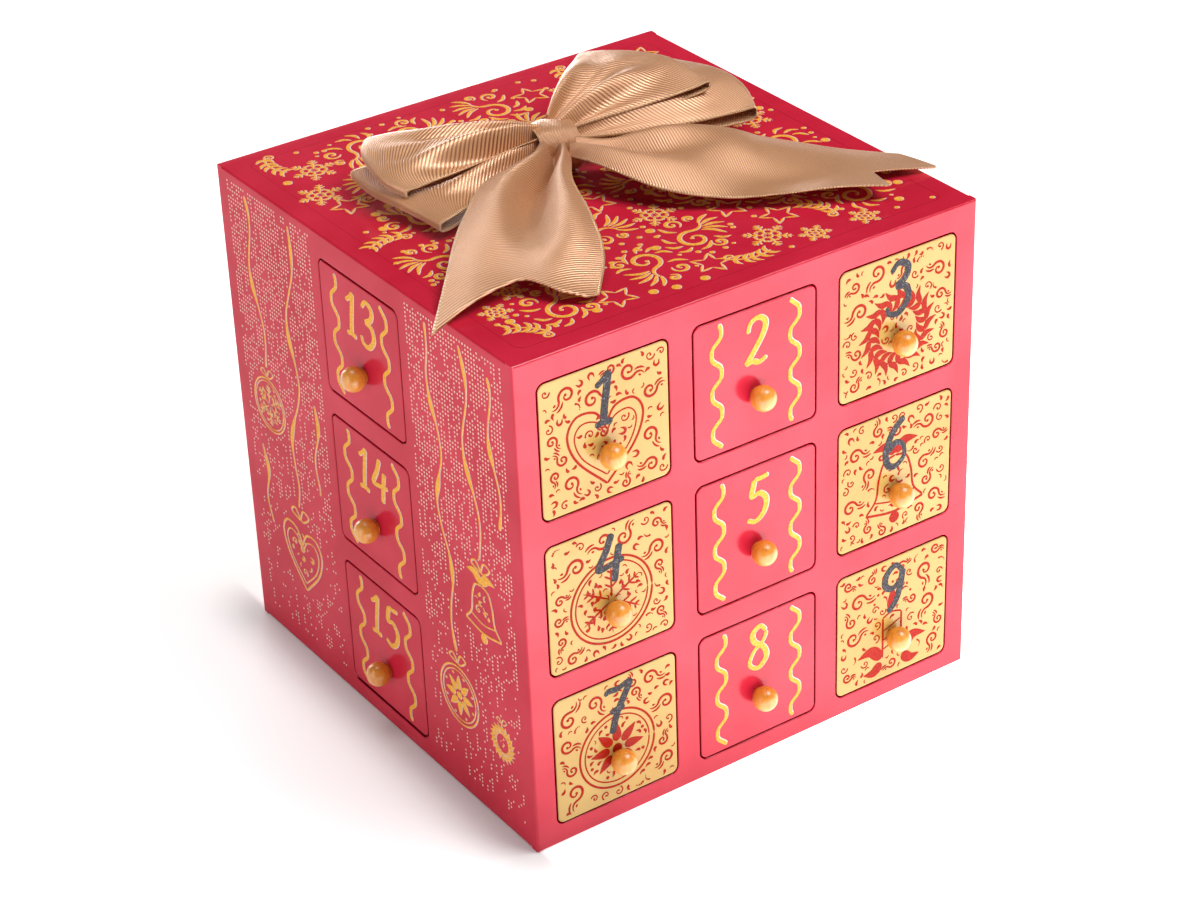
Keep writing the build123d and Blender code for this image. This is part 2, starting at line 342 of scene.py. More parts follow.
# Dark red: the printed hair line on the top, and painted shade in the window reveals and on the edges of the
# drawer fronts
seamRed = inkFinish("seamRed", (0.26, 0.004, 0.014), (0.36, 0.008, 0.02), 0.5)
dotInk = inkFinish("dotInk", fromBytes(228, 188, 170), fromBytes(244, 214, 198), 0.4)
glitterInk = glitterFinish("glitterInk", fromBytes(42, 38, 42), fromBytes(64, 59, 62),
                           fromBytes(150, 144, 156))
# The first two colours span the painted sheen of the twill lines; the last is the painted highlight on the
# selvage's stitches
satinRibbon = satinFinish("satinRibbon", fromBytes(142, 82, 46), fromBytes(248, 188, 138),
                          fromBytes(232, 172, 124), fromBytes(232, 190, 142))
print("finishes made")


# Mesh building
class Heap:
    def __init__(self):
        self.points = []
        self.polygons = []
        self.slots = []
        self.strokes = 0

    def inkLift(self):
        # Strokes that cross never share one plane
        self.strokes += 1
        return ink["lift"] * (self.strokes % ink["lifts"])

    def add(self, points, polygons, slot=0):
        base = len(self.points)
        self.points += [tuple(p) for p in points]
        self.polygons += [[base + i for i in polygon] for polygon in polygons]
        self.slots += [slot] * len(polygons)


def onFace(face, points):
    # Face millimetres (across, up, out) to metres in the frame
    origin, across, up, out = faces[face]
    return [(origin + across * a + up * b + out * c) * mm for a, b, c in points]


def polar(angle, reach=1.0):
    # One point or a row of them round the origin
    return np.stack([np.cos(angle), np.sin(angle)], axis=-1) * np.asarray(reach)[..., None]


def makeObject(name, heap, materials, smooth=False):
    mesh = bpy.data.meshes.new(name)
    mesh.from_pydata(heap.points, [], heap.polygons)
    for material in materials:
        mesh.materials.append(material)
    mesh.polygons.foreach_set("material_index", heap.slots)
    mesh.polygons.foreach_set("use_smooth", [smooth] * len(mesh.polygons))
    mesh.update()
    return link(name, mesh)


def bakeModifiers(made):
    graph = bpy.context.evaluated_depsgraph_get()
    graph.update()
    mesh = bpy.data.meshes.new_from_object(made.evaluated_get(graph))
    old = made.data
    made.modifiers.clear()
    made.data = mesh
    mesh.name = old.name
    return made


def weightNormals(made):
    made.data.polygons.foreach_set("use_smooth", [True] * len(made.data.polygons))
    made.data.set_sharp_from_angle(angle=math.radians(50))
    made.modifiers.new("weight", "WEIGHTED_NORMAL").keep_sharp = True
    return bakeModifiers(made)


def roundRect(width, height, corner, middle=(0, 0), steps=6):
    points = []
    corner = max(corner, 0.001)
    for index, (sx, sy) in enumerate(((1, 1), (-1, 1), (-1, -1), (1, -1))):
        centre = (middle[0] + sx * (width / 2 - corner), middle[1] + sy * (height / 2 - corner))
        angles = math.pi / 2 * (index + np.arange(steps + 1) / steps)
        points += list(polar(angles, corner) + centre)
    return points


def roundSteps(radius):
    # Pairs of (how far the ring stands in from the face's own edge, how deep it lies)
    if radius == 0:
        return [(0.0, 0.0)]
    count = case["roundSteps"]
    angles = [math.pi / 2 * step / count for step in range(count + 1)]
    return [(radius * (1 - math.sin(a)), radius * (1 - math.cos(a))) for a in angles]


def ringQuads(count, rings, closed=False):
    # Joins each ring of points to the next one, and the last to the first where closed
    quads = []
    for ring in range(rings if closed else rings - 1):
        here, after = ring * count, (ring + 1) % rings * count
        for i in range(count):
            j = (i + 1) % count
            quads.append([here + i, after + i, after + j, here + j])
    return quads


def prism(count):
    # Two rings of points with both ends shut
    return [list(range(count)), list(range(2 * count - 1, count - 1, -1)), *ringQuads(count, 2)]


def plate(heap, face, outer, windows, depth, outerRound):
    # A flat board with rounded face edges: outer and windows are (width, height, corner, middle)
    rims = []
    for number, (width, height, corner, middle) in enumerate([outer, *windows]):
        grow = 1 if number else -1
        rings = []
        for inset, low in roundSteps(case["windowRound"] if number else outerRound) + [(0.0, depth)]:
            wider = 2 * grow * inset
            ring = roundRect(width + wider, height + wider, corner + grow * inset, middle,
                             case["cornerSteps"])
            rings.append([(a, b, -low) for a, b in ring])
        quads = ringQuads(len(rings[0]), len(rings))
        points = [p for ring in rings for p in ring]
        heap.add(onFace(face, points), [q[::-1] for q in quads] if number else quads)
        rims.append((rings[0], rings[-1]))
    for which, flip in ((0, False), (1, True)):
        fillFlat(heap, face, [rim[which] for rim in rims], flip)


def fillFlat(heap, face, loops, flip):
    mesh = bmesh.new()
    for loop in loops:
        verts = [mesh.verts.new(p) for p in loop]
        for i, vert in enumerate(verts):
            mesh.edges.new((vert, verts[(i + 1) % len(verts)]))
    bmesh.ops.triangle_fill(mesh, use_beauty=True, use_dissolve=False, edges=mesh.edges[:])
    mesh.verts.index_update()
    triangles = []
    for polygon in mesh.faces:
        order = [v.index for v in polygon.verts]
        upward = polygon.normal.z > 0
        triangles.append(order if upward != flip else order[::-1])
    heap.add(onFace(face, [v.co for v in mesh.verts]), triangles)
    mesh.free()


def mergeDoubles(made, distance=1e-7, apart=-1, outwards=False):
    # Points of the slot named apart stay as they are: boards that touch aren't one skin
    mesh = bmesh.new()
    mesh.from_mesh(made.data)
    points = [v for v in mesh.verts if all(p.material_index != apart for p in v.link_faces)]
    bmesh.ops.remove_doubles(mesh, verts=points, dist=distance)
    if outwards:
        bmesh.ops.recalc_face_normals(mesh, faces=mesh.faces[:])
    mesh.to_mesh(made.data)
    mesh.free()


# Where each drawer sits on its face: the middle of its window, and how far its tray reaches in
lastNumbers = {"front": 9, "right": 12, "left": 15, "back": 24}
drawers = []
for number in range(1, 25):
    body = f"drawer_{number:02d}"
    low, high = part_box(f"{body}_box")
    side = next(name for name, last in lastNumbers.items() if number <= last)
    origin, across, up, out = faces[side]
    middle = (low + high) / 2 / mm
    place = (middle.dot(across), low.z / mm - case["running"] + case["window"] / 2)
    depth = (high - low).dot(Vector([abs(c) for c in out])) / mm
    yellow = side in ("front", "back") and abs(place[0]) > 1
    order = sum(info["yellow"] for info in drawers)
    drawers.append({"number": number, "body": body, "side": side, "place": place, "depth": depth,
                    "yellow": yellow, "order": order})


# Case panels
hairLine = {"inset": 6.4, "corner": 3.0, "spread": 0.14, "proud": 0.012, "sunk": 0.03, "steps": 8}


def casePanels():
    middle = (0, case["top"] / 2)
    faceSize = (case["side"], case["top"], case["sharpCorner"], middle)
    sideSize = ((sideHigh.y - sideLow.y) / mm, (sideHigh.z - sideLow.z) / mm, 0.0, middle)
    kinds = {"Face": (("front", "back"), faceSize, case["facePanel"], case["edgeRound"]),
             "Side": (("left", "right"), sideSize, case["board"], 0)}
    for kind, (sides, outer, depth, edge) in kinds.items():
        for side in sides:
            heap = Heap()
            size = (case["window"], case["window"], case["windowCorner"])
            windows = [(*size, info["place"]) for info in drawers if info["side"] == side]
            plate(heap, side, outer, windows, depth, edge)
            finishPanel(f"{side}{kind}", heap, f"{side}_{kind.lower()}_panel")
    for side in ("top", "bottom"):
        heap = Heap()
        capPanel(heap, side)
        if side == "top":
            addHairLine(heap)
        finishPanel(f"{side}Cap", heap, f"{side}_panel")


def capPanel(heap, side):
    # Rounded only along the two edges that show: the face panels cover the other two
    halfDepth = (topHigh.y - topLow.y) / 2 / mm
    outline = [(halfSide - inset, -low) for inset, low in roundSteps(case["edgeRound"])]
    outline.append((halfSide, -case["board"]))
    section = [(-a, c) for a, c in reversed(outline)] + outline
    points = [(a, b, c) for b in (-halfDepth, halfDepth) for a, c in section]
    heap.add(onFace(side, points), prism(len(section)))


def addHairLine(heap):
    # The edge of the printed field: a hair line with round corners
    reach = case["side"] - 2 * hairLine["inset"]
    inner, outer = [roundRect(reach + wider, reach + wider, hairLine["corner"], (0, 0), hairLine["steps"])
                    for wider in (-hairLine["spread"], hairLine["spread"])]
    top, low = hairLine["proud"], -hairLine["sunk"]
    levels = [(inner, top), (outer, top), (outer, low), (inner, low)]
    points = [(a, b, c) for ring, c in levels for a, b in ring]
    heap.add(onFace("top", points), ringQuads(len(inner), 4, True), 1)


def finishPanel(name, heap, node):
    made = makeObject(name, heap, [redPaint, seamRed])
    mergeDoubles(made, outwards=True)
    # Painted shade: the reveals of the windows take the dark red, standing in for the shade inside the gaps
    for polygon in made.data.polygons:
        spot = polygon.center / mm
        level = (abs(spot.x), abs(spot.y), abs(spot.z - case["top"] / 2))
        out = max(range(3), key=lambda axis: level[axis])
        inside = sorted(level)[1] < halfSide - case["revealInset"]
        if name.endswith(("Face", "Side")) and inside and abs(polygon.normal[out]) < 0.3:
            polygon.material_index = 1
    weightNormals(made)
    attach(made, "case")
    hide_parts(node)


casePanels()
for node in ("layer_partitions", "cell_dividers", "cell_shelves", "core_crate"):
    frame["nodes"][node].data.materials.clear()
    frame["nodes"][node].data.materials.append(bareBoard)
print("case panels made")


# Ink: closed strips a few hundredths of a millimetre proud of the paint
ink = {
    "proud": 0.06,
    "sunk": 0.03,
    "underProud": 0.02,
    "climb": 0.006,
    "lift": 0.0035,
    "lifts": 9,
    "room": 0.036,  # how far a layer on the sides may stand above its own height
    "step": 0.35,
}
digits = {"advance": 0.6, "middle": (0.3, 0.5), "lean": 0.05, "step": 0.3, "brush": 0.35, "taper": 0.6}
# Brush digits, drawn in a box one high
digitStrokes = {
    "0": [[(0.34, 0.98), (0.12, 0.80), (0.05, 0.45), (0.14, 0.08), (0.32, 0.0), (0.5, 0.2), (0.55, 0.52),
           (0.48, 0.86), (0.30, 0.99)]],
    "1": [[(0.10, 0.76), (0.24, 0.86), (0.36, 1.0)], [(0.36, 1.0), (0.33, 0.7), (0.29, 0.35), (0.27, 0.02)],
          [(0.10, 0.02), (0.28, 0.05), (0.46, 0.02)]],
    "2": [[(0.08, 0.72), (0.14, 0.93), (0.34, 1.0), (0.50, 0.86), (0.45, 0.62), (0.26, 0.32), (0.06, 0.05)],
          [(0.06, 0.05), (0.22, 0.09), (0.38, 0.03), (0.56, 0.10)]],
    "3": [[(0.10, 0.84), (0.26, 1.0), (0.47, 0.90), (0.44, 0.68), (0.22, 0.54)],
          [(0.22, 0.54), (0.46, 0.48), (0.52, 0.22), (0.32, 0.0), (0.10, 0.04), (0.05, 0.18)]],
    "4": [[(0.30, 1.0), (0.20, 0.70), (0.04, 0.36), (0.30, 0.37), (0.58, 0.42)],
          [(0.47, 0.74), (0.42, 0.40), (0.38, 0.0)]],
    "5": [[(0.54, 0.98), (0.36, 0.95), (0.20, 0.96)],
          [(0.20, 0.96), (0.15, 0.60), (0.34, 0.62), (0.51, 0.44), (0.47, 0.16), (0.27, 0.0), (0.06, 0.08)]],
    "6": [[(0.46, 0.99), (0.22, 0.76), (0.07, 0.40), (0.12, 0.10), (0.30, 0.0), (0.50, 0.14), (0.48, 0.38),
           (0.30, 0.50), (0.10, 0.36)]],
    "7": [[(0.06, 0.86), (0.10, 0.94), (0.32, 0.93), (0.57, 0.98), (0.40, 0.60), (0.28, 0.30), (0.22, 0.0)],
          [(0.16, 0.46), (0.32, 0.50), (0.48, 0.50)]],
    "8": [[(0.47, 0.84), (0.31, 1.0), (0.13, 0.88), (0.18, 0.66), (0.42, 0.46), (0.50, 0.20), (0.30, 0.0),
           (0.08, 0.15), (0.16, 0.42), (0.40, 0.62), (0.48, 0.82)]],
    "9": [[(0.50, 0.84), (0.32, 1.0), (0.12, 0.86), (0.10, 0.62), (0.28, 0.50), (0.45, 0.64), (0.51, 0.86)],
          [(0.51, 0.86), (0.47, 0.50), (0.38, 0.20), (0.20, 0.0)]],
}


def smoothLine(points, step=None):
    # Catmull-Rom through given points, resampled at an even step
    step = step or ink["step"]
    pts = np.array(points, float)
    ext = np.vstack([2 * pts[0] - pts[1], pts, 2 * pts[-1] - pts[-2]])
    line = []
    for i in range(1, len(ext) - 2):
        p0, p1, p2, p3 = ext[i - 1:i + 3]
        count = max(2, int(np.linalg.norm(p2 - p1) / step))
        t = np.linspace(0, 1, count, endpoint=False)[:, None]
        part = 0.5 * (2 * p1 + (p2 - p0) * t + (2 * p0 - 5 * p1 + 4 * p2 - p3) * t ** 2
                      + (3 * p1 - p0 - 3 * p2 + p3) * t ** 3)
        line.append(part)
    line.append(ext[-2][None, :])
    return np.vstack(line)


def tangents(line):
    way = np.gradient(line, axis=0)
    return way / np.maximum(np.linalg.norm(way, axis=1, keepdims=True), 1e-9)


def sidesOf(line, half):
    # Both edges of a line with its own half width at each point
    way = tangents(line)
    normal = np.stack([-way[:, 1], way[:, 0]], axis=1) * half[:, None]
    return line + normal, line - normal


def curl(middle, radius, start, turns, way):
    # A spiral that winds in from its rim
    share = np.linspace(0, 1, max(14, int(26 * turns)))
    reach = radius * (1 - share) ** 0.75 + radius * 0.12 * share
    return polar(start + way * fullTurn * turns * share, reach) + middle


def sScroll(spot, radius, turn, mirror):
    # A spiral that runs out into a counter curve
    share = np.linspace(0, 1, 30)
    head = polar(2.3 * math.pi * (1 - share), 0.10 + 0.50 * share ** 0.8) + (-0.35, 0)
    foot = polar(math.pi + 2.0 * np.linspace(0.08, 1, 12), 0.45) + (0.70, 0)
    line = np.vstack([head, foot]) * (radius, radius * mirror)
    spin = np.array([[math.cos(turn), math.sin(turn)], [-math.sin(turn), math.cos(turn)]])
    return line @ spin + np.array(spot)


class Pen:
    # Draws into one slot of a heap; place takes (across, up, out) points to the frame
    def __init__(self, heap, place, slot, weight=1.0, proud=None):
        self.heap = heap
        self.place = place
        self.slot = slot
        self.weight = weight
        self.proud = proud or ink["proud"]

    def strip(self, sides):
        left, right = sides
        count = len(left)
        total = 2 * count
        top = self.proud + self.heap.inkLift()
        climb = np.linspace(0, ink["climb"], count)
        flat = [*left, *right]
        points = [(a, b, top + c) for (a, b), c in zip(flat, [*climb, *climb])]
        points += [(a, b, -ink["sunk"]) for a, b in flat]
        polygons = []
        for i in range(count - 1):
            polygons.append([i, count + i, count + i + 1, i + 1])
            polygons.append([total + i + 1, total + count + i + 1, total + count + i, total + i])
            polygons.append([i + 1, total + i + 1, total + i, i])
            polygons.append([count + i, total + count + i, total + count + i + 1, count + i + 1])
        polygons.append([0, total, total + count, count])
        polygons.append([total - 1, 2 * total - 1, total + count - 1, count - 1])
        self.heap.add(self.place(points), polygons, self.slot)

    def line(self, line, width, brush=0.0, taper=1.0, swell=1.0):
        # Brush thins the upstrokes, taper draws the ends in
        line = np.asarray(line, float)
        run = np.concatenate([[0], np.cumsum(np.linalg.norm(np.diff(line, axis=0), axis=1))])
        half = width * self.weight / 2 * (1 - brush * (0.5 + 0.5 * tangents(line)[:, 1]))
        near = np.minimum(run, run[-1] - run) / (taper * width / 2 + 1e-9)
        ends = np.sqrt(np.clip(1 - (1 - np.clip(near, 0, 1)) ** 2, 0.02, 1))
        self.strip(sidesOf(line, half * ends * swell))

    def smooth(self, points, width):
        self.line(smoothLine(points), width)

    def tapered(self, line, width):
        # Swells in the middle and runs out to points
        share = np.linspace(0, 1, len(line))
        self.strip(sidesOf(line, width * self.weight / 2 * np.sin(math.pi * share) ** 0.7 + 0.05))

    def dot(self, middle, radius, sides=12):
        top = self.proud + self.heap.inkLift()
        ring = polar(fullTurn * np.arange(sides) / sides, radius) + middle
        points = [(a, b, c) for c in (top, -ink["sunk"]) for a, b in ring]
        self.heap.add(self.place(points), prism(sides), self.slot)

    def leaf(self, root, tip, width, bend):
        # A drop shape, widest near its root
        root, tip = np.array(root, float), np.array(tip, float)
        way = tip - root
        side = np.array([-way[1], way[0]])
        line = smoothLine([root, root + way * 0.5 + side * bend, tip], 0.3)
        share = np.linspace(0, 1, len(line))
        self.strip(sidesOf(line, width / 2 * np.sin(np.pi * share ** 0.6) ** 0.9 + 0.02))

    def arc(self, middle, radius, start, sweep, width):
        angle = start + sweep * np.linspace(0, 1, max(6, int(radius * abs(sweep) / 0.5)))
        self.line(polar(angle, radius) + middle, width, taper=3.0)

    def ring(self, radius, width):
        self.arc((0, 0), radius, 0.0, fullTurn, width)

    def scroll(self, middle, radius, start, way, width, turns):
        # Thick at the rim, thin towards its eye, with a round bead at the end
        line = curl(middle, radius, start, turns, way)
        self.line(line, width, taper=1.5, swell=np.linspace(1.25, 0.6, len(line)))
        self.dot(line[-1], width * 0.7, 8)

    def number(self, number, middle, height, width):
        text = str(number)
        x0, y0 = digits["middle"]
        for index, digit in enumerate(text):
            start = middle[0] + digits["advance"] * height * (index - (len(text) - 1) / 2)
            for points in digitStrokes[digit]:
                shifted = [(start + (x - x0 + digits["lean"] * (y - y0)) * height,
                            middle[1] + (y - y0) * height) for x, y in points]
                self.line(smoothLine(shifted, digits["step"]), width, digits["brush"], digits["taper"])


# Small scrollwork: what fills the ground of the yellow fronts
def bigSprig(pen, spot, radius, draw):
    turn = draw.uniform(0, fullTurn)
    line = sScroll(spot, radius, turn, draw.choice((-1, 1)))
    pen.tapered(line, 0.32 + 0.13 * radius)
    pen.dot(line[0], 0.14 + 0.07 * radius, 8)
    # Short strokes that echo the foot of the curve on both sides
    left, right = sidesOf(line, np.full(len(line), 0.26 * radius))
    for echo in (left[-11:-3], right[-9:-1]):
        pen.tapered(echo, 0.34 + 0.07 * radius)


def middleSprig(pen, spot, radius, draw):
    start = draw.uniform(0, fullTurn)
    kind = draw.random()
    if kind < 0.5:
        pen.scroll(spot, radius * 0.9, start, draw.choice((-1, 1)), 0.44, 0.95)
    elif kind < 0.8:
        for lean in (-0.5, 0.5):
            out = polar(start + lean, radius)
            pen.leaf(spot - out * 0.5, spot + out, 0.7, lean * 0.5)
    else:
        for step in range(5):
            pen.dot(spot + polar(start + step * 0.42, radius * 0.9), 0.16 + 0.05 * step, 7)


def smallSprig(pen, spot, radius, draw):
    angle = draw.uniform(0, fullTurn)
    out = polar(angle, radius)
    if draw.random() < 0.6:
        pen.leaf(spot - out, spot + out, 0.85, draw.choice((-0.22, 0.22)))
    else:
        pen.arc(spot, radius * 0.8, angle, 2.6, 0.42)


# Each batch is a sprig, its radius and how many are wanted
ground = {
    "reach": 18.6,
    "edge": 19.2,
    "vary": (0.85, 1.1),
    "spacing": 0.98,
    "tries": 30,
    "firstSeed": 40,
    "batches": [(bigSprig, 4.2, 7), (bigSprig, 2.9, 14), (middleSprig, 1.6, 36), (smallSprig, 0.95, 90)],
    "innerBatches": [(bigSprig, 2.3, 6), (middleSprig, 1.3, 16), (smallSprig, 0.75, 40)],
}


def scatter(pen, seed, inside, batches):
    # Throws sprigs of each size, large ones first, wherever they clear the others
    draw = random.Random(seed)
    spots = []
    for sprig, radius, count in batches:
        made = 0
        for attempt in range(count * ground["tries"]):
            if made == count:
                break
            reach = radius * draw.uniform(*ground["vary"])
            x, y = [draw.uniform(-ground["reach"], ground["reach"]) for axis in range(2)]
            crowded = any(math.hypot(x - a, y - b) < (reach + r) * ground["spacing"] for a, b, r in spots)
            if crowded or not inside(x, y, reach):
                continue
            spots.append((x, y, reach))
            sprig(pen, np.array([x, y]), reach, draw)
            made += 1


# Own line drawings for the yellow fronts and the sides
def bellFigure(pen):
    side = smoothLine([(0.0, 7.4), (3.2, 6.4), (4.8, 2.2), (5.6, -2.8), (8.4, -6.2)])
    for sign in (-1, 1):
        pen.line(side * (sign, 1), 0.8)
        pen.leaf((0, 8.0), (sign * 6.6, 10.2), 2.8, 0.2 * sign)
    pen.smooth([(-8.6, -6.4), (0, -7.8), (8.6, -6.4)], 0.9)
    pen.smooth([(-6.2, -3.6), (0, -4.9), (6.2, -3.6)], 0.55)
    pen.dot((0, -9.4), 1.5)
    scatter(pen, 9, lambda x, y, r: abs(x) < 4.4 - r and -2.6 + r < y < 5.4 - r, ground["innerBatches"][1:])


def heartFigure(pen):
    lobe = smoothLine([(0, 4.0), (2.6, 8.0), (7.4, 8.4), (9.8, 4.2), (7.4, -2.4), (0, -10.2)])
    inner = smoothLine([(0, 2.0), (2.4, 5.6), (6.2, 6.2), (8.0, 3.2), (6.0, -2.2), (0, -8.0)])
    for sign in (-1, 1):
        pen.line(lobe * (sign, 1), 0.85)
        pen.line(inner * (sign, 1), 0.5)
    scatter(pen, 7, lambda x, y, r: abs(x) * 1.05 + abs(y - 1.5) * 0.95 < 7.2 - r, ground["innerBatches"])


def rosetteFigure(pen):
    for petal in range(8):
        angle = math.pi * petal / 4
        pen.leaf(polar(angle, 2.0), polar(angle, 7.2), 2.4, 0.0)
        pen.dot(polar(angle + math.pi / 8, 7.6), 0.45, 8)
    pen.dot((0, 0), 1.3)
    pen.ring(8.8, 0.5)
    pen.ring(10.2, 0.8)


def candleFigure(pen):
    for sign in (-1, 1):
        pen.line([(sign * 2.8, y) for y in np.linspace(-8.0, 3.4, 24)], 0.8)
        pen.leaf((sign * 3.2, -8.0), (sign * 10.4, -5.6), 3.2, 0.25 * sign)
        pen.leaf((sign * 3.2, -9.2), (sign * 8.6, -11.0), 2.8, -0.2 * sign)
    for drop in (-5.6, -3.0, -0.4):
        pen.smooth([(-2.6, drop), (0, drop + 0.9), (2.6, drop + 1.9)], 0.5)
    pen.smooth([(-2.8, 3.4), (0, 4.2), (2.8, 3.4)], 0.7)
    pen.leaf((0, 4.8), (0, 11.0), 3.2, 0.0)
    for ray in range(7):
        pen.dot(polar(math.pi * (ray + 0.5) / 7, 5.6) + (0, 7.0), 0.35, 8)


def wreathFigure(pen):
    for step in range(20):
        angle = fullTurn * step / 20
        for reach, lean in ((11.2, 0.34), (5.4, 0.36)):
            pen.leaf(polar(angle, 8.2), polar(angle + lean, reach), 1.5, 0.15)
    pen.ring(8.2, 0.55)
    for step in range(5):
        pen.dot(polar(fullTurn * step / 5 + 0.3, 8.3), 0.85, 10)
    scatter(pen, 12, lambda x, y, r: math.hypot(x, y) < 4.6 - r, [(smallSprig, 0.8, 12)])


def crystal(pen, reach, width, points):
    # Six arms of straight strokes, each with three pairs of twigs
    for arm in range(6):
        angle = math.pi * arm / 3 + math.pi / 6
        way = polar(angle, reach)
        pen.line(np.linspace(way * 0.08, way, points), width)
        for share, length in ((0.38, 0.26), (0.62, 0.26), (0.82, 0.16)):
            for lean in (-math.pi / 3.4, math.pi / 3.4):
                twig = polar(angle + lean, length * reach)
                pen.line(np.linspace(way * share, way * share + twig, points), width)


def crystalFigure(pen):
    crystal(pen, 8.6, 0.7, 5)
    pen.ring(9.6, 0.5)
    pen.ring(10.8, 0.8)
    scatter(pen, 5, lambda x, y, r: math.hypot(x, y) < 9.2 - r, [(smallSprig, 0.75, 30)])


figures = [heartFigure, wreathFigure, crystalFigure, bellFigure, rosetteFigure, candleFigure]

# Drawer fronts, their trays and their print
drawer = {
    "gap": 0.4,
    "front": 3.0,
    "edgeRound": 0.4,
    "trayGap": 0.8,
    "wall": 2.5,
    "trayHeight": 33.0,
    "trayCorner": 2.3,
    "brokenEdge": 0.25,
    "numberRise": 9.6,
    "numberAcross": 0.2,
    "numberLift": 0.035,
    "numberHeight": 15.0,
    "numberWidth": 2.2,
    "goldNumberHeight": 13.6,
    "goldNumberWidth": 1.7,
    "underNumberAcross": 0.5,
    "underWaveShift": 0.2,
    "figureScale": 1.2,
    "figureDrop": 3.2,
    "figurePen": 0.68,
    "groundPen": 0.8,
    "waveAcross": 12.8,
    "waveSwing": 1.75,
    "wavePeriod": 11.9,
    "waveHeight": 36.8,
    "waveWidth": 1.15,
    "waveSteps": 90,
}


def boardBox(heap, face, low, high, outward=0):
    # A plain board with softly broken edges; a tray side is rounded along its low outer edge
    block = bmesh.new()
    bmesh.ops.create_cube(block, size=1.0)
    size = [h - l for l, h in zip(low, high)]
    for vert in block.verts:
        vert.co = Vector([(l + h) / 2 + c * s for l, h, c, s in zip(low, high, vert.co, size)])

    def bevel(edges, offset, segments):
        bmesh.ops.bevel(block, geom=edges, offset=offset, segments=segments, profile=0.5, affect="EDGES")

    sharp = block.edges[:]
    if outward:
        outer = high[0] if outward > 0 else low[0]
        lowEdges = [e for e in block.edges if all(abs(v.co.y - low[1]) < 1e-4 for v in e.verts)]
        runners = [e for e in lowEdges if abs(e.verts[0].co.x - e.verts[1].co.x) < 1e-4]
        rounded = [e for e in runners if abs(e.verts[0].co.x - outer) < 1e-4]
        hidden = [e for e in runners if e not in rounded]
        bevel(rounded, drawer["trayCorner"], 8)
        sharp = [e for e in block.edges if e.calc_face_angle(0) > 0.6 and e not in hidden]
    bevel(sharp, drawer["brokenEdge"], 2)
    block.verts.index_update()
    polygons = [[v.index for v in polygon.verts] for polygon in block.faces]
    heap.add(onFace(face, [v.co for v in block.verts]), polygons, 1)
    block.free()


def buildDrawer(heap, info):
    a0, b0 = info["place"]
    side = info["side"]
    wall = drawer["wall"]
    size = case["window"] - 2 * drawer["gap"]
    corner = case["windowCorner"] - drawer["gap"]
    plate(heap, side, (size, size, corner, (a0, b0)), [], drawer["front"], drawer["edgeRound"])
    half = case["window"] / 2 - drawer["trayGap"]
    left, right = a0 - half, a0 + half
    floor = b0 - case["window"] / 2 + case["running"]
    rim = floor + drawer["trayHeight"]
    rear, front = -info["depth"], -drawer["front"]
    boardBox(heap, side, (left, floor, rear), (left + wall, rim, front), -1)
    boardBox(heap, side, (right - wall, floor, rear), (right, rim, front), 1)
    boardBox(heap, side, (left + wall, floor, rear), (right - wall, floor + wall, front))
    boardBox(heap, side, (left + wall, floor + wall, rear), (right - wall, rim, rear + wall))


def addWaves(pen, shift=0.0):
    for side in (-1, 1):
        rise = np.linspace(-drawer["waveHeight"] / 2, drawer["waveHeight"] / 2, drawer["waveSteps"])
        turn = fullTurn * rise / drawer["wavePeriod"] + 0.6 * side
        sway = drawer["waveSwing"] * (np.sin(turn) + 0.1 * np.sin(3 * turn))
        line = np.stack([side * drawer["waveAcross"] + sway + shift, rise + shift], axis=1)
        pen.line(line, drawer["waveWidth"])


def printDrawer(heap, info):
    number = info["number"]
    rise = drawer["numberRise"]
    size, drop = drawer["figureScale"], drawer["figureDrop"]
    marks = []

    def place(points, lift=0.0):
        a0, b0 = info["place"]
        return onFace(info["side"], [(a + a0, b + b0, c + lift) for a, b, c in points])

    def lower(points):
        moved = [(a * size, b * size - drop, c) for a, b, c in points]
        marks.extend(moved)
        return place(moved)

    def free(x, y, r):
        if max(abs(x), abs(y)) >= ground["edge"] - r * 0.95:
            return False
        return np.hypot(spots[:, 0] - x, spots[:, 1] - y).min() > r * 0.9 + 0.3

    def above(points):
        return place(points, drawer["numberLift"])

    if info["yellow"]:
        figures[info["order"] % len(figures)](Pen(heap, lower, 2, drawer["figurePen"]))
        # The scrollwork fills what the figure leaves free
        spots = np.array(marks)
        pen = Pen(heap, place, 2, drawer["groundPen"])
        scatter(pen, ground["firstSeed"] + number, free, ground["batches"])
        middle = (drawer["numberAcross"], rise)
        Pen(heap, above, 3).number(number, middle, drawer["numberHeight"], drawer["numberWidth"])
    else:
        under = Pen(heap, place, 3, proud=ink["underProud"])
        gold = Pen(heap, place, 2)
        addWaves(under, drawer["underWaveShift"])
        addWaves(gold)
        for pen, across in ((under, drawer["underNumberAcross"]), (gold, drawer["numberAcross"])):
            pen.number(number, (across, rise), drawer["goldNumberHeight"], drawer["goldNumberWidth"])


for info in drawers:
    heap = Heap()
    buildDrawer(heap, info)
    printDrawer(heap, info)
    tray = trayWood if info["side"] in ("front", "back") else sideTrayWood
    paint = [redPaint, tray, goldInk, paleInk, seamRed]
    if info["yellow"]:
        paint = [yellowPaint, tray, brickInk, glitterInk, seamRed]
    made = makeObject(f"drawer{info['number']:02d}", heap, paint)
    mergeDoubles(made, 2e-8, 1)
    # The edges of the front board take the dark red: red paint on the edges, darker as painted shade in the
    # gaps round the front
    out = faces[info["side"]][3]
    for polygon in made.data.polygons:
        if polygon.material_index == 0 and abs(polygon.normal.dot(out)) < 0.5:
            polygon.material_index = 4
    weightNormals(made)
    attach(made, info["body"])
    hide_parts(f"{info['body']}_box")
print("drawers made")


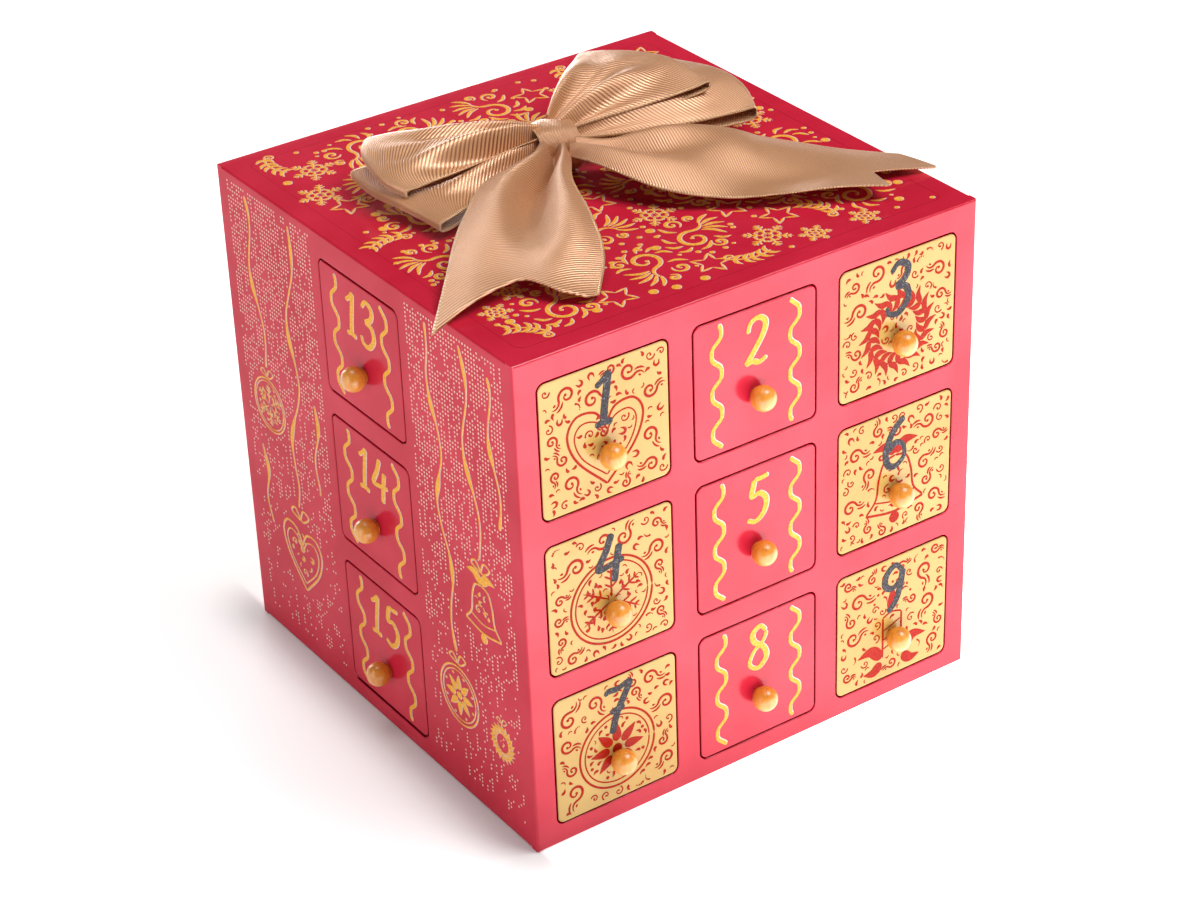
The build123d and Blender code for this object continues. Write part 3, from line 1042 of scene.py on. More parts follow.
# Node trees: what repeats on the top and the sides
def nodeTree(name, inputs):
    tree = bpy.data.node_groups.new(name, "GeometryNodeTree")
    tree.interface.new_socket("Geometry", in_out="INPUT", socket_type="NodeSocketGeometry")
    for label, kind in inputs.items():
        tree.interface.new_socket(label, in_out="INPUT", socket_type=f"NodeSocket{kind}")
    tree.interface.new_socket("Geometry", in_out="OUTPUT", socket_type="NodeSocketGeometry")
    graph = Graph(tree)
    start = tree.nodes.new("NodeGroupInput")
    graph.given = {socket.name: Wire(graph, socket) for socket in start.outputs if socket.name}
    graph.end = tree.nodes.new("NodeGroupOutput")
    return graph


def closeTree(graph, instances, material):
    real = graph.add("GeometryNodeRealizeInstances", None, {0: instances})
    inked = graph.add("GeometryNodeSetMaterial", None, {"Geometry": real, "Material": material})
    graph.plug(graph.end.inputs[0], inked)


def runTree(made, graph, values):
    modifier = made.modifiers.new("repeat", "NODES")
    modifier.node_group = graph.tree
    for item in graph.tree.interface.items_tree:
        if item.in_out == "INPUT" and item.name in values:
            modifier[item.identifier] = values[item.name]
    return bakeModifiers(made)


def pointObject(name, points):
    mesh = bpy.data.meshes.new(name)
    mesh.from_pydata([tuple(p) for p in points], [], [])
    return link(name, mesh)


# Printed top: sprigs, crystals, stars, feathers and dots, thrown over the field inside the hair line.
# Each kind has its radius and how many are wanted
topPrint = {
    "margin": 5.8,
    "seed": 23,
    "line": 0.56,
    "spacing": 0.9,
    "tries": 900,
    "underShift": (0.24, -0.1, 0.0),
    "underHeight": 0.6,
    "kinds": {"sprigA": (9.9, 13), "sprigB": (9.6, 13), "crystal": (6.6, 11), "crystalSmall": (5.0, 9),
              "star": (5.5, 12), "feather": (6.0, 12), "dotLarge": (1.7, 46), "dotSmall": (1.0, 120)},
}


def motifStar(pen, width):
    corners = [polar(math.pi * (step / 5 + 0.5), 2.5 if step % 2 else 5.6) for step in range(10)]
    for step in range(10):
        pen.line(np.linspace(corners[step], corners[(step + 1) % 10], 4), width)


def motifCrystal(pen, width, reach):
    crystal(pen, reach, width, 4)
    pen.ring(reach * 0.2, width * 0.8)
    for arm in range(6):
        pen.dot(polar(math.pi * arm / 3, reach * 0.5), 0.42, 8)


def motifSprig(pen, width, mirror):
    # A scroll with side curls, a fan of tapered strokes at its foot and commas round its head
    main = sScroll((-0.6, 0.8), 7.8, 0.0, 1) * (mirror, 1)
    pen.tapered(main, width * 1.9)
    pen.dot(main[0], width * 0.9, 8)
    curls = (((6.2, 4.6), 2.5, -2.4, 1), ((-7.0, -5.0), 2.2, 1.4, 1), ((8.6, -0.6), 1.6, 3.0, -1))
    for middle, reach, start, way in curls:
        line = curl(middle, reach, start, 1.15, way) * (mirror, 1)
        pen.tapered(line, width * 1.5)
        pen.dot(line[-1], width * 0.7, 8)
    fan = (((1.4, -2.2), (0.6, -5.2), (-2.2, -8.2)), ((2.2, -2.8), (2.2, -6.0), (0.8, -9.2)),
           ((3.2, -3.0), (4.2, -6.0), (4.0, -9.2)), ((4.4, -2.9), (6.4, -5.4), (7.2, -8.2)),
           ((5.4, -2.4), (8.0, -3.8), (9.8, -6.0)))
    commas = (((-4.4, 6.2), (-3.6, 8.2), (-1.2, 9.4)), ((-6.6, 5.0), (-7.2, 7.4), (-5.8, 9.6)),
              ((-8.0, 2.8), (-9.8, 4.4), (-9.8, 7.0)), ((1.6, 4.6), (2.4, 7.0), (4.8, 8.8)),
              ((-5.6, -3.0), (-8.6, -1.6), (-9.9, 0.8)), ((-3.2, -4.4), (-4.6, -6.6), (-4.2, -8.8)))
    for strokes, weight in ((fan, 1.7), (commas, 1.6)):
        for points in strokes:
            pen.tapered(smoothLine(points, 0.6) * (mirror, 1), width * weight)
    for x, y in ((1.2, 9.6), (8.8, 7.8), (-8.9, -8.2)):
        pen.dot((x * mirror, y), 0.5, 8)


def motifFeather(pen, width):
    spine = smoothLine([(-5.6, -3.6), (-1.6, -2.8), (2.4, -0.2), (4.8, 3.6)], 0.6)
    pen.line(spine, width, taper=2.5)
    for share in (0.18, 0.36, 0.54, 0.72, 0.9):
        index = int(share * (len(spine) - 1))
        way = spine[index + 1] - spine[index]
        way = way / np.linalg.norm(way)
        side = np.array([-way[1], way[0]])
        for sign in (-1, 1):
            pen.leaf(spine[index], spine[index] + way * 2.2 + side * sign * 2.6, 1.1, 0.15 * sign)
    pen.scroll((-5.0, -2.2), 1.5, -2.0, -1, width * 0.9, 1.0)


def motifCollection():
    # In alphabetical order, because the node that reads the collection sorts by name
    drawn = {
        "crystal": lambda pen, width: motifCrystal(pen, width, 6.8),
        "crystalSmall": lambda pen, width: motifCrystal(pen, width * 0.85, 4.8),
        "dotLarge": lambda pen, width: pen.dot((0, 0), 1.25, 14),
        "dotSmall": lambda pen, width: pen.dot((0, 0), 0.7, 10),
        "feather": motifFeather,
        "sprigA": lambda pen, width: motifSprig(pen, width, 1),
        "sprigB": lambda pen, width: motifSprig(pen, width * 0.95, -1),
        "star": motifStar,
    }
    flat = lambda points: [(a * mm, b * mm, c * mm) for a, b, c in points]
    group = bpy.data.collections.new("topMotifs")
    for name, draw in drawn.items():
        heap = Heap()
        draw(Pen(heap, flat, 0), topPrint["line"])
        made = makeObject(name, heap, [])
        bpy.context.scene.collection.objects.unlink(made)
        group.objects.link(made)
    return group, list(drawn)


def motifSpots(order):
    draw = random.Random(topPrint["seed"])
    half = halfSide - topPrint["margin"]
    spots = []
    for kind, (radius, count) in topPrint["kinds"].items():
        made = 0
        for attempt in range(count * topPrint["tries"]):
            if made == count:
                break
            x = draw.uniform(radius - half, half - radius)
            y = draw.uniform(radius - half, half - radius)
            if any(math.hypot(x - s[0], y - s[1]) < (radius + s[2]) * topPrint["spacing"] for s in spots):
                continue
            spots.append((x, y, radius, order.index(kind), draw.uniform(0, fullTurn)))
            made += 1
    return spots


def motifTree():
    inputs = {"Motifs": "Collection", "Shift": "Vector", "Height": "Float", "Ink": "Material"}
    graph = nodeTree("topMotifs", inputs)
    given = graph.given
    shifted = {"Geometry": given["Geometry"], "Offset": given["Shift"]}
    moved = graph.add("GeometryNodeSetPosition", None, shifted)
    motifs = {0: given["Motifs"], "Separate Children": True, "Reset Children": True}
    children = graph.add("GeometryNodeCollectionInfo", None, motifs)
    kind = graph.add("GeometryNodeInputNamedAttribute", {"data_type": "INT"}, {"Name": "kind"})
    turn = graph.add("GeometryNodeInputNamedAttribute", {"data_type": "FLOAT"}, {"Name": "turn"})
    spin = graph.add("ShaderNodeCombineXYZ", None, {"Z": turn})
    scale = graph.add("ShaderNodeCombineXYZ", None, {"X": 1.0, "Y": 1.0, "Z": given["Height"]})
    placed = graph.add("GeometryNodeInstanceOnPoints", None, {
        "Points": moved, "Instance": children, "Pick Instance": True, "Instance Index": kind,
        "Rotation": spin, "Scale": scale})
    closeTree(graph, placed, given["Ink"])
    return graph


def printTop():
    group, order = motifCollection()
    spots = motifSpots(order)
    graph = motifTree()
    shift = tuple(along * mm for along in topPrint["underShift"])
    layers = (("topGoldPrint", goldInk, (0, 0, 0), 1.0),
              ("topPalePrint", paleInk, shift, topPrint["underHeight"]))
    for name, material, offset, height in layers:
        made = pointObject(name, [(s[0] * mm, s[1] * mm, case["top"] * mm) for s in spots])
        for label, kind, column in (("kind", "INT", 3), ("turn", "FLOAT", 4)):
            values = made.data.attributes.new(label, kind, "POINT")
            values.data.foreach_set("value", [s[column] for s in spots])
        runTree(made, graph, {"Motifs": group, "Shift": offset, "Height": height, "Ink": material})
        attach(made, "case")
    for made in list(group.objects):
        bpy.data.objects.remove(made)
    bpy.data.collections.remove(group)


printTop()
print("top printed")


# Printed sides: a fall of pale dots that thins downwards, gold streamers and hanging figures
sidePrint = {
    "margin": 5.8,
    "low": 7.0,
    "high": 147.0,
    "thin": 0.5,
    "thick": 1.9,
    "pen": 0.62,
    "underShift": 0.22,
    "seed": 5,
    "figureReach": 11.0,
    # Millimetres, by the names of the tree's inputs; no dot lies within Column of the middle line
    "dots": {"Pitch": 1.3, "Row": 1.25, "Dot": 0.335, "Depth": 0.08, "Clear": 0.95, "Column": 24.5},
    # From where to where a streamer runs, its swing, its waves, its swells and their phase
    "streamers": (
        ((-36, 145.5), (-45, 51.5), 3.0, 2.2, 3, 0.2), ((-60, 145.5), (-57, 92.6), 2.4, 1.3, 2, 1.1),
        ((50, 145.5), (54, 83.6), 2.8, 1.4, 2, 0.4), ((34, 145.5), (39, 46.6), 2.4, 2.6, 4, 2.0),
        ((63, 142), (65, 98), 2.0, 1.2, 2, 1.6), ((-64, 64), (-62, 38), 1.8, 1.0, 1, 0.0),
        ((-30, 92), (-31, 62), 1.8, 1.0, 1, 0.4)),
    # Which figure, where its middle hangs and how large it is drawn
    "hanging": ((heartFigure, (-45, 34), 1.12), (crystalFigure, (-57, 80), 0.8), (bellFigure, (54, 68), 1.0),
                (rosetteFigure, (39, 32), 0.92), (wreathFigure, (60, 28), 0.55)),
    "hook": [(0, 11.5), (1.8, 15.0), (4.6, 14.0), (1.0, 11.5), (-2.2, 14.4), (-4.2, 12.8), (0, 11.5)],
}


def drawSide(heap, face, slot, shift, proud):
    highest = proud + ink["room"]

    def place(points, middle=(0, 0), scale=1.0):
        return onFace(face, [(middle[0] + shift + a * scale, middle[1] + b * scale, min(c, highest))
                             for a, b, c in points])

    pen = Pen(heap, place, slot, proud=proud)
    for start, end, swing, waves, swells, phase in sidePrint["streamers"]:
        share = np.linspace(0, 1, 14)
        points = np.array(start) + np.outer(share, np.array(end) - np.array(start))
        points[:, 0] += swing * np.sin(phase + fullTurn * share * waves) * np.sin(math.pi * share) ** 0.5
        line = smoothLine(points, 0.7)
        share = np.linspace(0, 1, len(line))
        swell = np.maximum(0, np.sin(fullTurn * swells * share + phase)) ** 2
        swell *= np.sin(math.pi * share) ** 0.3
        thin, thick = sidePrint["thin"], sidePrint["thick"]
        pen.strip(sidesOf(line, thin / 2 + (thick - thin) / 2 * swell))
    for figure, middle, scale in sidePrint["hanging"]:
        hung = Pen(heap, lambda points, m=middle, s=scale: place(points, m, s), slot, sidePrint["pen"])
        figure(hung)
        hung.line(smoothLine(sidePrint["hook"], 0.5), 0.8)


def dotTree():
    lengths = ("Width", "Rise", *sidePrint["dots"])
    graph = nodeTree("sideDots", {**{name: "Float" for name in lengths}, "Seed": "Int", "Ink": "Material"})
    given = graph.given
    acrossCount = given["Width"] / given["Pitch"] + 1.5
    upCount = given["Rise"] / given["Row"] + 1.5
    grid = graph.add("GeometryNodeMeshGrid", None, {
        "Size X": given["Width"], "Size Y": given["Rise"], "Vertices X": acrossCount, "Vertices Y": upCount})
    place = graph.add("GeometryNodeInputPosition")
    x, y = graph.part(place, "X"), graph.part(place, "Y")
    # Fewer dots lower down, dropped in upright runs
    stretched = graph.add("ShaderNodeVectorMath", {"operation": "MULTIPLY"}, {0: place, 1: (1.9, 0.34, 1.0)})
    runs = graph.span(graph.noise(stretched, 420.0, 1.0), 0.25, 0.75)
    limits = {2: 0.0, 3: 1.0, "Seed": given["Seed"]}
    chance = graph.add("FunctionNodeRandomValue", {"data_type": "FLOAT"}, limits, 1)
    kept = graph.span(y / given["Rise"] + 0.5, 0.0, 0.95, 0.34, 0.64)
    drop = graph.maths("GREATER_THAN", runs * 0.6 + chance * 0.4, kept)
    column = graph.maths("LESS_THAN", graph.maths("ABSOLUTE", x), given["Column"])
    target = {0: given["Geometry"]}
    near = graph.add("GeometryNodeProximity", {"target_element": "POINTS"}, target, "Distance")
    crowd = graph.maths("LESS_THAN", near, given["Clear"])
    gone = graph.maths("GREATER_THAN", drop + column + crowd, 0.5)
    chosen = {"Geometry": grid, "Selection": gone}
    left = graph.add("GeometryNodeDeleteGeometry", {"domain": "POINT"}, chosen)
    disc = graph.add("GeometryNodeMeshCylinder", {"fill_type": "NGON"}, {
        "Vertices": 6, "Radius": given["Dot"], "Depth": given["Depth"]})
    placed = graph.add("GeometryNodeInstanceOnPoints", None, {"Points": left, "Instance": disc})
    closeTree(graph, placed, given["Ink"])
    return graph


def faceMatrix(face, up):
    origin, across, rise, out = faces[face]
    turn = Matrix((across, rise, out)).transposed().to_4x4()
    return Matrix.Translation((origin + rise * up) * mm) @ turn


def printSides():
    graph = dotTree()
    middle = (sidePrint["low"] + sidePrint["high"]) / 2
    lengths = {"Width": 2 * (halfSide - sidePrint["margin"]), "Rise": sidePrint["high"] - sidePrint["low"],
               **sidePrint["dots"]}
    values = {name: length * mm for name, length in lengths.items()}
    for face in ("left", "right"):
        heap = Heap()
        drawSide(heap, face, 1, sidePrint["underShift"], ink["underProud"])
        drawSide(heap, face, 0, 0.0, ink["proud"])
        gold = makeObject(f"{face}GoldPrint", heap, [goldInk, paleInk])
        weightNormals(gold)
        # Dots keep off the gold: its points, and a disc of points for each figure
        basis = faceMatrix(face, middle)
        back = basis.inverted()
        keepOff = [(back @ v.co) for v in gold.data.vertices][::2]
        for figure, spot, scale in sidePrint["hanging"]:
            for ring in range(1, 9):
                angles = fullTurn * np.arange(6 * ring) / (6 * ring)
                reach = sidePrint["figureReach"] * scale * ring / 8
                keepOff += list((polar(angles, reach) + (spot[0], spot[1] - middle)) * mm)
        dots = pointObject(f"{face}Dots", [(p[0], p[1], 0) for p in keepOff])
        runTree(dots, graph, {**values, "Seed": sidePrint["seed"], "Ink": dotInk})
        dots.data.transform(basis)
        print(face, "dots:", len(dots.data.polygons) // 8)
        for made in (gold, dots):
            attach(made, "case")


printSides()
print("sides printed")


# Knobs: turned balls with a short neck, a little flattened in front
knob = {"ball": 7.2, "standOff": 3.2, "neck": 2.0, "sunk": 1.0, "flat": 0.077, "sides": 40, "rings": 22}


def knobProfile():
    # Pairs of (radius, height above the drawer's front), from the tenon to the tip
    radius = knob["ball"] / 2
    points = [(knob["neck"] * 0.98, -knob["sunk"]), (knob["neck"], -0.02), (knob["neck"] * 1.04, 0.06)]
    start = math.asin(knob["neck"] / radius)
    for step in range(knob["rings"] + 1):
        angle = start + (math.pi - start) * step / knob["rings"]
        out = -math.cos(angle) * radius
        if out > 0:
            out *= 1 - knob["flat"] * (out / radius) ** 3
        points.append((radius * math.sin(angle), knob["standOff"] + out))
    return points


def addKnob(info):
    low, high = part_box(f"{info['body']}_knob")
    middle = (low + high) / 2 / mm
    centre = (middle.dot(faces[info["side"]][1]), middle.z)
    profile = knobProfile()
    sides = knob["sides"]
    angles = fullTurn * np.arange(sides) / sides
    points = [(a, b, height) for radius, height in profile[:-1] for a, b in polar(angles, radius) + centre]
    points += [(*centre, profile[-1][1]), (*centre, profile[0][1])]
    tip, foot = len(points) - 2, len(points) - 1
    polygons = [quad[::-1] for quad in ringQuads(sides, len(profile) - 1)]
    for i in range(sides):
        j = (i + 1) % sides
        polygons.append([tip - sides + i, tip - sides + j, tip])
        polygons.append([j, i, foot])
    heap = Heap()
    heap.add(onFace(info["side"], points), polygons)
    return makeObject(f"knob{info['number']:02d}", heap, [knobVarnish], True)


for info in drawers:
    made = addKnob(info)
    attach(made, info["body"])
    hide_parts(f"{info['body']}_knob")
print("knobs made")


# Ribbon sheets: a cage of given points, smoothed both ways
ribbon = {"width": 40.0, "thick": 0.32, "rows": 96, "columns": 56, "foldLength": 6.0}
bowMiddle = (-4.0, 9.0)


def splineWeights(count, samples):
    # Catmull-Rom weights of each sample on evenly numbered cage rows
    weights = np.zeros((len(samples), count))
    for i, s in enumerate(samples):
        k = min(int(s), count - 2)
        t = s - k
        values = (-0.5 * t + t ** 2 - 0.5 * t ** 3, 1 - 2.5 * t ** 2 + 1.5 * t ** 3,
                  0.5 * t + 2 * t ** 2 - 1.5 * t ** 3, -0.5 * t ** 2 + 0.5 * t ** 3)
        for offset, value in zip((-1, 0, 1, 2), values):
            row = k + offset
            if row < 0:
                weights[i, 0] += 2 * value
                weights[i, 1] -= value
            elif row > count - 1:
                weights[i, count - 1] += 2 * value
                weights[i, count - 2] -= value
            else:
                weights[i, row] += value
    return weights


def ribbonSheet(name, cage, length, endShare=((0, 1), (1, 1))):
    # cage[row][column] is a point in millimetres, rows along the ribbon and columns across it
    cage = np.array(cage, float)
    rows, columns = ribbon["rows"], ribbon["columns"]
    v = np.linspace(0, 1, columns + 1)
    u = np.linspace(0, 1, rows + 1)[:, None] * np.interp(v, *zip(*endShare))[None, :]
    cross = splineWeights(cage.shape[1], v * (cage.shape[1] - 1))
    points = np.zeros((rows + 1, columns + 1, 3))
    for j in range(columns + 1):
        column = np.einsum("k,rkc->rc", cross[j], cage)
        points[:, j] = splineWeights(cage.shape[0], u[:, j] * (cage.shape[0] - 1)) @ column
    mesh = bpy.data.meshes.new(name)
    across = columns + 1
    quads = [[r * across + c, r * across + c + 1, (r + 1) * across + c + 1, (r + 1) * across + c]
             for r in range(rows) for c in range(columns)]
    mesh.from_pydata([tuple(p) for p in points.reshape(-1, 3) * mm], [], quads)
    layer = mesh.uv_layers.new(name="weave")
    for loop in mesh.loops:
        r, c = divmod(loop.vertex_index, across)
        layer.data[loop.index].uv = ((v[c] - 0.5) * ribbon["width"], u[r, c] * length)
    mesh.materials.append(satinRibbon)
    mesh.polygons.foreach_set("use_smooth", [True] * len(mesh.polygons))
    made = link(name, mesh)
    solid = made.modifiers.new("thickness", "SOLIDIFY")
    solid.thickness = ribbon["thick"] * mm
    solid.offset = 0.0
    bakeModifiers(made)
    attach(made, "case")
    return made


def fromKnot(direction, points, middle=bowMiddle):
    # (along, across, height above the top) from the knot to the frame's millimetres
    along = polar(math.radians(direction))
    side = np.array([-along[1], along[0]])
    return [(*(np.array(middle) + along * s + side * t), case["top"] + z) for s, t, z in points]


def printShare(made, area):
    # How much of its flat area one side of the sheet takes up
    oneSide = sum(polygon.area for polygon in made.data.polygons) / 2
    print(made.name, "area share", round(oneSide / (area * mm * mm), 2))


# A loop: out along the lower layer, round the fold and back along the upper one.
# Its fold runs from the back edge to the front one; heights are above the top
loops = {
    "leftLower": {
        "fold": [(-54, 33, 6.0), (-54.5, 22, 5.2), (-53, 11, 5.2), (-51, 2, 4.4), (-50, -6, 3.8)],
        "tuck": 0, "root": (-7.0, 11.5, 9.0), "low": 5.0, "high": 8.4, "roll": 1.7, "swell": 0.3,
        "pleat": 1.9, "frontDrop": 1.0,
        "shape": (0, 0, 0, 0.0, -0.4, -1.0, 0.8, 3.0, 1.0, -2.2, -1.0)},
    "leftUpper": {
        "fold": [(-47, 37, 12.0), (-51, 32, 11.9), (-53, 24, 10.9), (-53.5, 16, 9.6), (-51, 9, 8.0)],
        "tuck": 7, "root": (-7.0, 13.0, 9.0), "low": 8.8, "high": 11.2, "roll": 1.5, "swell": 2.2,
        "pleat": 2.3, "frontDrop": 2.0,
        "shape": (-1.0, 0.6, 1.2, -1.7, 0.0, 2.2, 2.8, 1.4, -1.8, -2.2, -0.5)},
    "rightLower": {
        "fold": [(50, 30, 10.4), (54, 18, 11.2), (55, 9, 11.0), (54.6, 2, 9.4), (52.4, -5, 6.6)],
        "tuck": 3, "root": (-1.5, 11.0, 9.0), "low": 6.8, "high": 9.8, "roll": 2.1, "swell": 0.9,
        "pleat": 1.8, "frontDrop": 2.4,
        "shape": (0, 0, 0.2, 0, -0.2, -0.2, 0.9, 2.0, 2.2, 0.6, -0.6)},
    "rightUpper": {
        "fold": [(25, 39, 17.0), (30, 34, 17.8), (37, 27, 17.8), (42, 18.5, 17.0), (43.5, 4, 14.6)],
        "tuck": 3, "root": (-1.5, 13.0, 9.0), "low": 10.2, "high": 11.6, "roll": 1.4, "swell": 2.6,
        "pleat": 1.8, "frontDrop": 3.0,
        "shape": (0.9, 2.0, 0.8, -2.2, -2.8, 0.2, 2.2, 1.8, 0.6, -0.2, -0.6)},
}
loopSteps = (0.0, 0.1, 0.22, 0.4, 0.6, 0.8, 0.93)
loopColumns = 19


def loopCage(shape):
    fold = smoothLine(shape["fold"], 0.2)
    fold = fold[np.linspace(0, len(fold) - 1, loopColumns).round().astype(int)]
    x0, y0, width = shape["root"]
    roll, low, high = shape["roll"], shape["low"], shape["high"]
    v = np.linspace(0, 1, loopColumns)
    pattern = np.interp(v, np.linspace(0, 1, len(shape["shape"])), shape["shape"])
    pleats = shape["pleat"] * np.sin(fullTurn * (3.25 * v + 0.1))
    out = math.copysign(1.0, fold[0, 0] - x0)

    def tucked(row, inward, share=1.0):
        # The back edge is folded in under its own layer
        line = np.array(row)
        steps = np.linspace(1, 0, shape["tuck"], endpoint=False)
        reach = 0.28 * (0.3 + 0.7 * share) * steps * (loopColumns - 1)
        columns = np.arange(loopColumns)
        under = np.stack([np.interp(reach, columns, line[:, axis]) for axis in range(3)], axis=1)
        under += np.array(inward) * 0.9 * (1 - (1 - steps[:, None]) ** 4)
        return [*under, *line]

    def layer(share, upper):
        row = []
        fade = (1 - share) ** 1.35
        for column, (fx, fy, fz) in enumerate(fold):
            ry = y0 + (0.5 - v[column]) * width
            # The two layers close up along the front edge, short of the fold
            droop = shape["frontDrop"] * max(0.0, (v[column] - 0.6) / 0.4) ** 1.5
            droop *= math.sin(math.pi * share) ** 0.6
            if upper:
                z = high + (fz + roll - high) * share
                z += shape["swell"] * math.sin(math.pi * share ** 0.8)
                z += pattern[column] * math.sin(math.pi * min(1.0, share * 1.15 + 0.12)) ** 0.7
                z += pleats[column] * fade - droop
            else:
                z = low + (fz - roll - low) * share
                z += 0.75 * pleats[column] * fade - droop * 0.25
            row.append((x0 + (fx - x0) * share, ry + (fy - ry) * share, case["top"] + max(z, 0.5)))
        return tucked(row, (0, 0, -1 if upper else 1), share)

    rows = [layer(share, False) for share in loopSteps]
    for push, rise in ((0.55, -0.75), (1.0, 0.0), (0.55, 0.75)):
        bulge = out * roll * 0.9 * push
        row = [(fx + bulge, fy, case["top"] + fz + roll * rise) for fx, fy, fz in fold]
        rows.append(tucked(row, (-out * math.sqrt(1 - rise ** 2), 0, -rise)))
    return rows + [layer(share, True) for share in reversed(loopSteps)]


for name, shape in loops.items():
    foldMiddle = shape["fold"][2]
    length = 2 * math.hypot(foldMiddle[0] - shape["root"][0], foldMiddle[1] - shape["root"][1])
    length += ribbon["foldLength"]
    made = ribbonSheet(f"{name}Loop", loopCage(shape), length)
    printShare(made, ribbon["width"] * length)

# Tails: rows of (along, across, height), from the knot to past the tips; end is how far each part is cut
tails = {
    "frontTail": {
        "direction": 228.4,
        "length": 95.0,
        "rows": [
            [(4, -5.0, 9.0), (4, -3.0, 12.0), (4, -0.5, 8.0), (4, 2.0, 11.5), (4, 4.0, 8.5)],
            [(14, -6.5, 10.5), (14, -3.0, 13.0), (14, 0.5, 5.6), (14, 3.5, 13.4), (14, 5.8, 10.5)],
            [(29, -15.7, 10.8), (29, -9.0, 12.6), (29, -2.5, 5.0), (29, 3.6, 13.0), (29, 8.4, 11.8)],
            [(44, -18.8, 8.6), (44, -10.5, 11.2), (44, -2.0, 6.4), (44, 7.5, 12.2), (44, 15.0, 9.4)],
            [(58, -19.7, 6.8), (58, -10.5, 8.8), (58, 0.0, 6.8), (58, 10.5, 9.2), (58, 19.8, 5.6)],
            [(72, -19.6, 4.4), (72, -10.5, 5.6), (72, 0.0, 5.0), (72, 10.5, 4.6), (72, 20.2, 1.6)],
            [(95, -20.2, -1.6), (95, -10.5, 1.2), (95, 0.0, 1.0), (95, 10.5, 0.8), (95, 20.0, 0.6)],
        ],
        "end": [(0.0, 0.985), (0.24, 0.92), (0.48, 0.845), (0.55, 0.84), (0.76, 0.872), (0.93, 0.868),
                (1.0, 0.845)],
    },
    "rightTail": {
        "direction": 321.0,
        "length": 106.0,
        "rows": [
            [(4, -8.0, 9.0), (4, -5.5, 12.0), (5, -3.0, 8.5), (5, -0.5, 11.5), (5, 1.5, 8.0)],
            [(13, -15.0, 9.5), (14, -10.5, 13.2), (15, -5.5, 7.0), (15, -1.0, 11.0), (15, 2.5, 6.0)],
            [(30, -22.0, 5.8), (30, -14.0, 11.2), (30, -6.0, 9.0), (30, 2.0, 13.6), (30, 8.5, 7.0)],
            [(47, -22.4, 3.4), (47, -13.0, 6.6), (47, -3.5, 10.6), (47, 6.0, 10.8), (47, 14.5, 5.6)],
            [(62, -21.5, 4.2), (62, -12.5, 3.6), (62, -3.5, 5.4), (62, 5.0, 6.0), (62, 13.5, 3.8)],
            [(80, -18.5, 5.0), (80, -10.5, 4.2), (80, -2.5, 3.8), (80, 5.0, 3.2), (80, 11.5, 1.8)],
            [(106, -15.0, 3.4), (106, -8.0, 2.4), (106, -1.5, 1.2), (106, 4.5, 0.4), (106, 9.5, 0.5)],
        ],
        "end": [(0.0, 0.905), (0.05, 0.905), (0.36, 0.878), (0.62, 0.985), (0.70, 0.985), (1.0, 0.925)],
    },
}
for name, tail in tails.items():
    cage = [fromKnot(tail["direction"], row) for row in tail["rows"]]
    made = ribbonSheet(name, cage, tail["length"], tail["end"])
    cut = np.interp(np.linspace(0, 1, 101), *zip(*tail["end"])).mean() * ribbon["width"] * tail["length"]
    printShare(made, cut)
    tail["length"] * mm
    cut * mm * mm

# The wrap: a band round the knot, with rounded corners and a flat seat
knot = {"middle": (-4.0, 11.6), "length": 12.0, "width": 14.5, "height": 14.4, "turn": -8.0,
        "turns": 16, "columns": 6, "seat": 0.3, "lowest": 0.35, "girth": 0.86}


def wrapCage():
    rows = []
    square = lambda value: math.copysign(abs(value) ** 0.8, value)
    for step in range(knot["turns"] + 1):
        angle = fullTurn * step / knot["turns"] - math.pi / 2
        row = []
        for column in range(knot["columns"] + 1):
            v = column / knot["columns"] - 0.5
            swell = 1.0 + 0.05 * math.cos(fullTurn * v) + 0.03 * math.sin(3 * angle + 8 * v)
            y = square(math.cos(angle)) * knot["width"] / 2 * swell
            rise = square(math.sin(angle)) * (knot["height"] / 2 - knot["seat"])
            z = knot["height"] / 2 + rise * (swell if rise > 0 else 1.0)
            row.append((v * knot["length"], y, max(z, knot["lowest"])))
        rows.append(fromKnot(knot["turn"], row, knot["middle"]))
    return rows


wrapLength = 2 * (knot["width"] + knot["height"]) * knot["girth"]
wrap = ribbonSheet("bowWrap", wrapCage(), wrapLength)
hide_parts("bow_wrap")
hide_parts("ribbon_bow")
print("bow made")


# Floor and light
stage = {
    "floor": 6.0,
    "floorDrop": 0.0001,
    "floorColour": (0.72, 0.72, 0.72),
    "glowNear": 0.5,
    "glowFront": 3.3,
    "glowFar": 0.55,
    "glowEdge": 1.2,
    "shade": 0.026,
    "shadeEdge": 0.004,
    "shadeDepth": 0.85,
    "world": (0.075, 0.075, 0.08),
    "target": (0, 0, 0.09),
    "lights": {
        "key": {"place": (0.50, -0.54, 1.36), "size": (0.75, 0.75), "power": 17.0},
        "fill": {"place": (-0.98, 0.0, 0.30), "size": (0.6, 0.8), "power": 3.1},
        "overhead": {"place": (-0.12, 0.12, 1.35), "size": (0.55, 0.55), "power": 4.2},
        "rear": {"place": (0.15, 1.0, 0.24), "size": (0.9, 0.4), "power": 8.5},
    },
}


